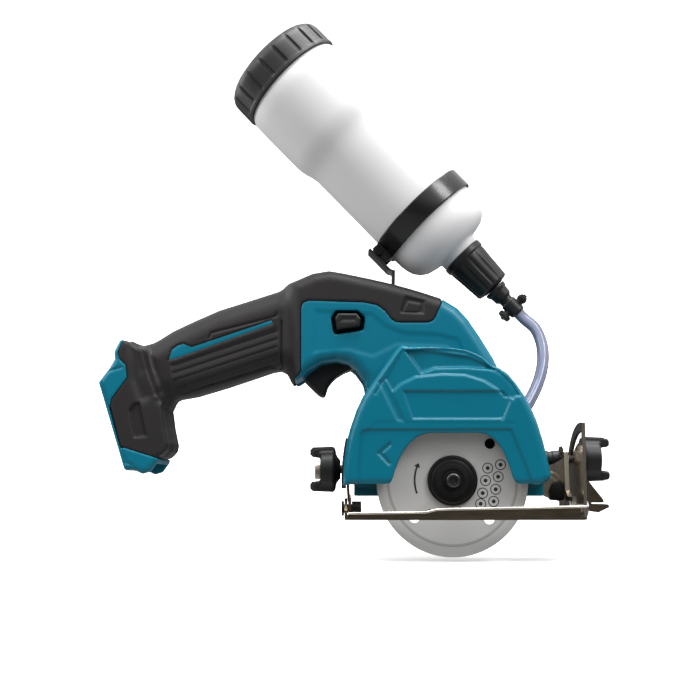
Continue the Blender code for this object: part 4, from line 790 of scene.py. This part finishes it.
cap_profile = [(0, -3.2), (10, -3.15), (20, -3.0), (24.6, -2.8), (25.4, -2.2), (27.0, -2.2), (28.0, -2.7), (31.0, -1.6), (33.2, 0.2), (34.3, 2.0), (34.7, 4.0), (34.8, 6.0), (34.8, 9.0), (34.8, 12.0), (34.8, 14.0), (34.8, 15.4), (35.0, 16.0), (34.8, 17.2), (33.0, 17.25), (28.6, 17.2), (28.6, 6.0), (0, 6.0)]
put("screw_cap", lathe("screw_cap", cap_profile, t0, TA, 320, cap_wave, 30), CAPMAT, "cap_set", ("tank_cap",))

band = lathe("band_ring", fillet([(31.35, 126.3), (32.7, 126.3), (33.0, 126.8), (33.0, 138.8), (32.7, 139.3), (31.35, 139.3)], 0.3, 2), t0, TA, 128, sharp=30)


def tank_pt(s, n, y=0.0):
    return t0 + TA * s * MM + TN * n * MM + Vector((0, y * MM, 0))


def tank_box(name, s0, s1, n0, n1, y0, y1, bevel=0.5):
    bm = bmesh.new()
    vs = [bm.verts.new(tank_pt(s, n, y)) for s in (s0, s1) for n in (n0, n1) for y in (y0, y1)]
    for q in ((0, 1, 3, 2), (4, 6, 7, 5), (0, 4, 5, 1), (2, 3, 7, 6), (0, 2, 6, 4), (1, 5, 7, 3)):
        bm.faces.new([vs[i] for i in q])
    bmesh.ops.recalc_face_normals(bm, faces=bm.faces)
    bmesh.ops.bevel(bm, geom=bm.edges[:], offset=bevel * MM, segments=2, affect="EDGES")
    me = bpy.data.meshes.new(name)
    bm.to_mesh(me)
    bm.free()
    return me


ear = [tank_box("e1", 127.0, 138.6, -37.6, -32.4, 3.4, 7.6, 0.7), tank_box("e2", 127.0, 138.6, -37.6, -32.4, -7.6, -3.4, 0.7), tank_box("e3", 127.0, 138.6, -34.0, -32.2, -7.6, 7.6, 0.4)]
put("band_strap", joined("band_strap", [band] + ear), GLOSS, "housing", ("tank_band",))
nut = [(10.75, 166.6), (13.2, 166.6), (13.5, 167.0), (13.5, 169.8), (13.1, 170.4), (12.6, 170.9), (12.8, 172.0), (12.2, 178.0), (11.6, 186.0), (11.1, 192.6), (10.2, 193.6), (7.4, 194.2), (6.4, 194.6), (4.2, 194.6), (4.2, 179.0), (10.75, 179.0)]


def nut_wave(t, h, r):
    if h < 171.4 or h > 193.0 or r < 11:
        return 0.0
    return -0.8 * (0.5 + 0.5 * math.cos(14 * t)) ** 3 * min(1, (h - 171.4) / 2) * min(1, (193.0 - h) / 1.5)


put("bottle_collar", lathe("bottle_collar", nut, t0, TA, 168, nut_wave, 32), BLACK, "housing", ("bottle_nut",))
valve = [(1.6, 195.0), (6.9, 195.0), (7.1, 196.0), (6.6, 197.6), (6.0, 198.2), (5.6, 202.4), (4.4, 203.6), (4.1, 204.0), (4.1, 206.0), (4.9, 207.0), (4.9, 214.6), (4.4, 215.2), (3.4, 216.0), (1.6, 216.0)]
put("valve_barrel", lathe("valve_barrel", valve, t0, TA, 64), BLACK, "housing", ("valve_body",))
vc = tank_pt(211.0, 0)
lever = [lathe("l1", fillet([(0, -8.8), (3.4, -8.8), (3.9, -8.2), (3.9, -6.2), (2.4, -5.6), (2.4, 5.8), (3.0, 6.4), (3.0, 8.4), (2.2, 9.4), (0, 9.4)], 0.3, 2), vc, TN, 48)]
lever += [tank_box("l2", 208.9, 213.1, 6.2, 9.9, -5.2, 5.2, 0.9), tank_box("l3", 209.1, 212.9, -9.2, -6.6, -4.6, 4.6, 0.8)]
put("valve_tap", joined("valve_tap", lever), BLACK, "valve_set", ("valve_lever",))

# ---------------------------------------------------------------------------------------------- hose
def on_tank(s):
    q = tank_pt(s, 0)
    return Vector((q.x / MM, q.y / MM + 14, q.z / MM))


route = [on_tank(215.5), on_tank(221.0)] + [Vector((x, d, z)) for x, z, d in ((54.0, 112.6, 36.8), (57.2, 104.0, 34.6), (57.6, 94.6, 31.4), (55.6, 85.0, 27.6), (51.8, 75.6, 23.6), (46.8, 67.0, 19.2), (43.4, 62.0, 16.6), (42.6, 58.6, 16.0))]
pts = [Vector(q) for q in curve([tuple(q) for q in route], 4, closed=False)]
world = [V(*q) for q in pts]
cu = bpy.data.curves.new("clear_hose", "CURVE")
cu.dimensions = "3D"
cu.bevel_depth = 3.5 * MM
cu.bevel_resolution = 8
cu.use_fill_caps = True
sp = cu.splines.new("POLY")
sp.points.add(len(world) - 1)
for q, p in zip(sp.points, world):
    q.co = (*p, 1)
sp.use_smooth = True
hose = bpy.data.objects.new("clear_hose", cu)
bpy.context.collection.objects.link(hose)
cu.materials.append(HOSE)
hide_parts("water_hose")
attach(hose, "housing")

# ---------------------------------------------------------------------------------------------- blade, flange and bolt
ax = V(0, 0, AXLE_Z)
disc = lathe("disc", [(7.5, -0.6), (35.4, -0.6), (36.2, -0.8), (36.5, -0.8), (42.2, -0.8), (42.5, -0.6), (42.5, 0.6), (42.2, 0.8), (36.5, 0.8), (36.2, 0.8), (35.4, 0.6), (7.5, 0.6)], ax, (0, 1, 0), 192)
ob = put("disc", disc, BLADE, "spindle_set", ("blade",))
bm = bmesh.new()
for a in (44, 224, 314):
    c = V(29.6 * math.cos(math.radians(a)), 0, AXLE_Z + 29.6 * math.sin(math.radians(a)))
    bmesh.ops.create_cone(bm, cap_ends=True, segments=32, radius1=2.95 * MM, radius2=2.95 * MM, depth=0.006, matrix=Matrix.Translation(c) @ Matrix.Rotation(math.pi / 2, 4, "X"))
me = bpy.data.meshes.new("holes")
bm.to_mesh(me)
bm.free()
tool = bpy.data.objects.new("holes", me)
bpy.context.collection.objects.link(tool)
m = ob.modifiers.new("cut", "BOOLEAN")
m.object, m.solver = tool, "EXACT"
out = bpy.data.meshes.new_from_object(ob.evaluated_get(bpy.context.evaluated_depsgraph_get()))
ob.modifiers.clear()
ob.data = out
smooth(out, 35)
bpy.data.objects.remove(tool, do_unlink=True)
flange = [(3.0, -1.1), (13.6, -1.1), (14.0, -1.4), (14.0, -2.4), (13.4, -3.0), (12.8, -3.2), (12.2, -2.9), (11.8, -2.9), (11.2, -3.3), (10.2, -3.5), (9.8, -4.0), (9.4, -4.6), (8.8, -4.8), (6.4, -4.8), (6.0, -4.4), (5.2, -4.4), (4.9, -4.8), (3.0, -4.8)]
put("clamp_washer", lathe("clamp_washer", flange, ax, (0, 1, 0), 96, sharp=25), MATT, "spindle_set", ("outer_flange",))
def hexer(t, h, r):
    if r > 2.5 or h > -6.0:
        return 0.0
    a = (t + math.pi / 6) % (math.pi / 3) - math.pi / 6
    return r * (math.cos(math.pi / 6) / math.cos(a) - 1.0)


bolt = lathe("bolt_head", [(0, -6.3), (2.2, -6.3), (2.25, -8.7), (2.5, -8.95), (3.0, -9.0), (3.5, -8.9), (3.9, -8.5), (4.0, -8.0), (4.0, -5.1), (2.6, -5.1), (2.6, 12.0), (0, 12.0)], ax, (0, 1, 0), 96, hexer)
put("bolt_head", bolt, BOLT, "spindle_set", ("blade_bolt",))

# a plain curved arrow, etched on the disc, for the way that it turns
arrow = circle(0, AXLE_Z, 21.6, 18, 158, 200) + circle(0, AXLE_Z, 20.6, 18, 158, 200)[::-1]
head = [(21.1 * math.cos(math.radians(152.5)), AXLE_Z + 21.1 * math.sin(math.radians(152.5))), (22.9 * math.cos(math.radians(159)), AXLE_Z + 22.9 * math.sin(math.radians(159))), (19.3 * math.cos(math.radians(159)), AXLE_Z + 19.3 * math.sin(math.radians(159)))]
marks = [plate_mesh("a1", arrow, -0.66, -0.58, bevel=0), plate_mesh("a2", head, -0.66, -0.58, bevel=0)]
for cx, cz in ((19.9, 6.9), (27.1, 8.8), (18.6, 0.0), (25.7, 2.1), (16.9, -7.0), (24.2, -4.9), (15.7, -12.9), (23.0, -11.6)):
    at = V(cx, 0, AXLE_Z + cz)
    marks.append(lathe("m", [(2.55, -0.58), (2.55, -0.66), (3.05, -0.66), (3.05, -0.58)], at, (0, 1, 0), 36))
    marks.append(lathe("m", [(0, -0.58), (1.1, -0.58), (1.1, -0.66), (0, -0.66)], at, (0, 1, 0), 24))
put("disc_marks", joined("disc_marks", marks), PAINTED, "spindle_set")


# ---------------------------------------------------------------------------------------------- knobs
def claw_knob(name, d, z, x0, sign, body, node, long=1.0):
    lo, hi = sorted((x0 - sign * 1.2, x0 + sign * 20.4))
    g = Grid(lo - 1, hi + 1, d - 12, d + 12, z - 15, z + 15, 0.4)
    u = (g.X - x0) * sign / long
    r = np.hypot(g.D - d, (g.Z - z)[:, None, :])
    u3 = g.up(u)
    hub_r = np.interp(u, [0, 1.0, 2.2, 4.4, 5.6, 14.0, 15.4], [5.2, 6.2, 7.4, 10.4, 11.0, 10.6, 10.0])
    hub = np.maximum(np.maximum(-u3, u3 - 14.6), r - g.up(hub_r))
    hub = smax(hub, u3 - 14.4, 1.4)
    out = hub
    for k in (-1, 1):
        pts = [(x0 + sign * a * long, z + k * b) for a, b in ((3.6, 5.0), (9.0, 6.4), (15.6, 6.6), (18.6, 7.0), (19.8, 8.2), (19.8, 10.6), (18.8, 11.9), (15.0, 12.6), (5.4, 13.1), (3.8, 12.2), (3.2, 10.4))]
        claw = g.slab(g.poly(pts), d - 4.4, d + 4.4, 1.3)
        out = smin(out, claw, 1.6)
    bore = np.maximum(r - 3.4, -(u3 - 12.4))
    out = smax(out, -bore, 0.8)
    put(name, g.mesh(name, out, 50), BLACK, body, ())
    return name


claw_knob("rear_claw_knob", 20.0, 28.0, -62.8, -1, "depth_knob_set", "depth_knob", 0.82)
put("rear_knob_tab", plate_mesh("rear_knob_tab", [(-77.6, 22.4), (-73.0, 22.4), (-73.0, 31.0), (-77.6, 30.2)], 18.8, 21.2, bevel=0.35), PLATED_LIGHT, "depth_knob_set")
claw_knob("front_claw_knob", 28.0, 34.0, 74.3, 1, "bevel_knob_set", "bevel_knob")

# ---------------------------------------------------------------------------------------------- front fastening
fa = V(0, 28.0, 34.0)
boss = lathe("boss", fillet([(3.2, 55.2), (4.4, 55.2), (5.0, 56.2), (5.0, 58.0), (4.6, 58.6), (4.6, 60.4), (5.0, 61.0), (5.0, 64.6), (4.4, 65.4), (3.2, 65.4)], 0.25, 2), fa, (1, 0, 0), 48)
put("tilt_boss", boss, BLACK, "depth_frame")


def six(t, h, r):
    if r < 4.0:
        return 0.0
    a = (t + math.pi / 6) % (math.pi / 3) - math.pi / 6
    return r * (math.cos(math.pi / 6) / math.cos(a) - 1.0)


bands = []
for r0, r1 in ((10.4, 11.6), (7.4, 8.4)):
    ring = circle(54.4, 16.0, r1, 18, 12, 92) + circle(54.4, 16.0, r0, 18, 12, 92)[::-1]
    bands.append(plate_mesh("band", ring, 14.8, 18.4, bevel=0.25))
put("guide_bands", joined("guide_bands", bands), PLATED, "depth_frame")
put("tilt_block", plate_mesh("tilt_block", [(57.4, 10.4), (64.6, 10.0), (65.4, 12.0), (65.4, 19.6), (62.6, 21.4), (58.6, 19.8), (56.8, 15.0)], 13.2, 20.6, bevel=0.7), MATT, "depth_frame")
def rod(name, path, r, material, body):
    c = bpy.data.curves.new(name, "CURVE")
    c.dimensions, c.bevel_depth, c.bevel_resolution, c.use_fill_caps = "3D", r * MM, 3, True
    s = c.splines.new("POLY")
    s.points.add(len(path) - 1)
    for q, (x, d, z) in zip(s.points, path):
        q.co = (*V(x, d, z), 1)
    o = bpy.data.objects.new(name, c)
    bpy.context.collection.objects.link(o)
    me = bpy.data.meshes.new_from_object(o.evaluated_get(bpy.context.evaluated_depsgraph_get()))
    bpy.data.objects.remove(o, do_unlink=True)
    me.materials.clear()
    me.name = name
    bm = bmesh.new()
    bm.from_mesh(me)
    bmesh.ops.remove_doubles(bm, verts=bm.verts, dist=1e-7)
    bmesh.ops.recalc_face_normals(bm, faces=bm.faces)
    bm.to_mesh(me)
    bm.free()
    smooth(me, 50)
    return put(name, me, material, body)


# a rod gives the shoe's lip its rolled top edge; its bright nickel, lighter than the shoe's plated steel, is a painted
# highlight line
rod("shoe_rolled_edge_highlight", [(-58.0, -16.6, 3.6), (-40.0, -16.6, 3.8), (-16.0, -16.6, 4.2), (-10.0, -16.6, 5.6), (-2.0, -16.6, 5.9), (30.0, -16.6, 6.4), (52.0, -16.6, 6.8), (71.6, -16.6, 7.3)], 0.75, NICKEL, "shoe_set")
put("tilt_nut", lathe("tilt_nut", [(3.1, 68.6), (4.6, 68.6), (5.3, 68.9), (5.3, 69.9), (4.6, 70.2), (3.1, 70.2)], fa, (1, 0, 0), 96, six), NICKEL, "depth_frame")
# ---------------------------------------------------------------------------------------------- carried-over nodes
LOOKS = {
    "teal": TEAL, "black_plastic": BLACK, "black_rubber": RUBBER, "band_plastic": GLOSS, "bottle": BOTTLE, "hose": HOSE, "dark_steel": PAINTED,
    "plated": PLATED, "steel": STEEL, "copper": COPPER, "cast": CAST,
}
slot_of = {s["node"]: s["material_slot"] for s in frame["record"]["subparts"]}
BEVELLED = {"shoe": 0.35, "bevel_sector": 0.4, "front_bracket": 0.4, "depth_guide": 0.3, "sight_plate": 0.3, "clamp_bracket": 0.4, "tank_stay": 0.3, "gear_case": 0.6, "gear_cover": 0.6,
            "front_rivet": 0.3, "rear_rivet": 0.3, "water_nozzle": 0.6, "terminal_block": 0.3}
for name, ob in frame["nodes"].items():
    look = MATT if name in ("rear_rivet", "clamp_screw") else PLATED_LIGHT if name in ("bevel_sector", "front_bracket") else LOOKS[slot_of[name]]
    ob.data.materials.clear()
    ob.data.materials.append(look)
    if name in BEVELLED:
        bv = ob.modifiers.new("edge", "BEVEL")
        bv.width, bv.segments, bv.limit_method, bv.angle_limit = BEVELLED[name] * MM, 2, "ANGLE", math.radians(40)
        bv.use_clamp_overlap = True

# ---------------------------------------------------------------------------------------------- stage
bm = bmesh.new()
prof = [(-0.46, 0.0)] + [(0.55, 0.0)] + [(0.55 + 0.6 * math.sin(math.radians(a)), 0.6 - 0.6 * math.cos(math.radians(a))) for a in range(6, 91, 6)] + [(1.15, 2.6)]
rows = [[bm.verts.new((x, y, z - 0.0235)) for x in (-3.0, 3.0)] for y, z in prof]
for a, b in zip(rows, rows[1:]):
    bm.faces.new((a[0], a[1], b[1], b[0]))
me = bpy.data.meshes.new("studio_floor")
bm.to_mesh(me)
bm.free()
me.shade_smooth()
floor = bpy.data.objects.new("studio_floor", me)
bpy.context.collection.objects.link(floor)
fm = bpy.data.materials.new("floor_white")
fm.use_nodes = True
fb = fm.node_tree.nodes["Principled BSDF"]
fb.inputs["Base Color"].default_value = (0.92, 0.92, 0.92, 1)
fb.inputs["Emission Color"].default_value = (1, 1, 1, 1)
fb.inputs["Emission Strength"].default_value = 0.4
fb.inputs["Roughness"].default_value = 0.8
me.materials.append(fm)
floor.visible_glossy = False
floor.visible_diffuse = False

world_ = bpy.data.worlds.new("studio") if not bpy.context.scene.world else bpy.context.scene.world
bpy.context.scene.world = world_
world_.use_nodes = True
bg = world_.node_tree.nodes.get("Background") or world_.node_tree.nodes.new("ShaderNodeBackground")
wt = world_.node_tree
wc = wt.nodes.new("ShaderNodeTexCoord")
ws = wt.nodes.new("ShaderNodeSeparateXYZ")
wt.links.new(wc.outputs["Generated"], ws.inputs[0])
wm = wt.nodes.new("ShaderNodeMapRange")
wm.inputs["From Min"].default_value = -1.0
wt.links.new(ws.outputs["Z"], wm.inputs["Value"])
wr = wt.nodes.new("ShaderNodeValToRGB")
wt.links.new(wm.outputs[0], wr.inputs[0])
we = wr.color_ramp.elements
we[0].position, we[0].color = 0.0, (0.55, 0.55, 0.55, 1)
we[1].position, we[1].color = 1.0, (1.0, 1.0, 1.0, 1)
for pos, v in ((0.40, 0.30), (0.46, 0.05), (0.57, 0.05), (0.63, 0.35), (0.72, 1.0), (0.80, 0.85)):
    we.new(pos).color = (v, v, v, 1)
wl = wt.nodes.new("ShaderNodeLightPath")
wx = wt.nodes.new("ShaderNodeMix")
wx.data_type = "RGBA"
wx.inputs[7].default_value = (1, 1, 1, 1)
wt.links.new(wl.outputs["Is Camera Ray"], wx.inputs[0])
wt.links.new(wr.outputs[0], wx.inputs[6])
wt.links.new(wx.outputs[2], bg.inputs["Color"])
bg.inputs["Strength"].default_value = 1.3
bpy.context.scene.view_settings.view_transform = "Standard"


def lamp(name, loc, target, size, power, col=(1, 1, 1)):
    l = bpy.data.lights.new(name, "AREA")
    l.shape, l.size, l.size_y = "RECTANGLE", size[0], size[1]
    l.energy, l.color = power, col
    o = bpy.data.objects.new(name, l)
    bpy.context.collection.objects.link(o)
    o.location = loc
    o.rotation_euler = (Vector(target) - Vector(loc)).to_track_quat("-Z", "Y").to_euler()
    return o


centre = (-0.05, 0.0, 0.12)
lamp("key", (0.75, -0.75, 1.15), centre, (0.5, 0.5), 13.0)
lamp("left", (-1.1, -0.55, 0.75), centre, (0.4, 0.9), 7.5)
lamp("top", (0.1, -0.15, 1.25), centre, (1.1, 0.4), 18.0)
lamp("rim_left", (-1.1, 0.4, 0.3), centre, (0.25, 0.8), 5.0)
lamp("rim_right", (1.1, 0.4, 0.3), centre, (0.25, 0.8), 2.0)

cam = bpy.data.cameras.new("camera")
cam.lens = 58.8
cam.sensor_width = 36.0
cam.clip_start, cam.clip_end = 0.01, 20
co = bpy.data.objects.new("camera", cam)
bpy.context.collection.objects.link(co)
co.location = (-0.05729, -0.659, 0.01904)
co.rotation_euler = (math.radians(90 + 6.73), 0, 0)
bpy.context.scene.camera = co
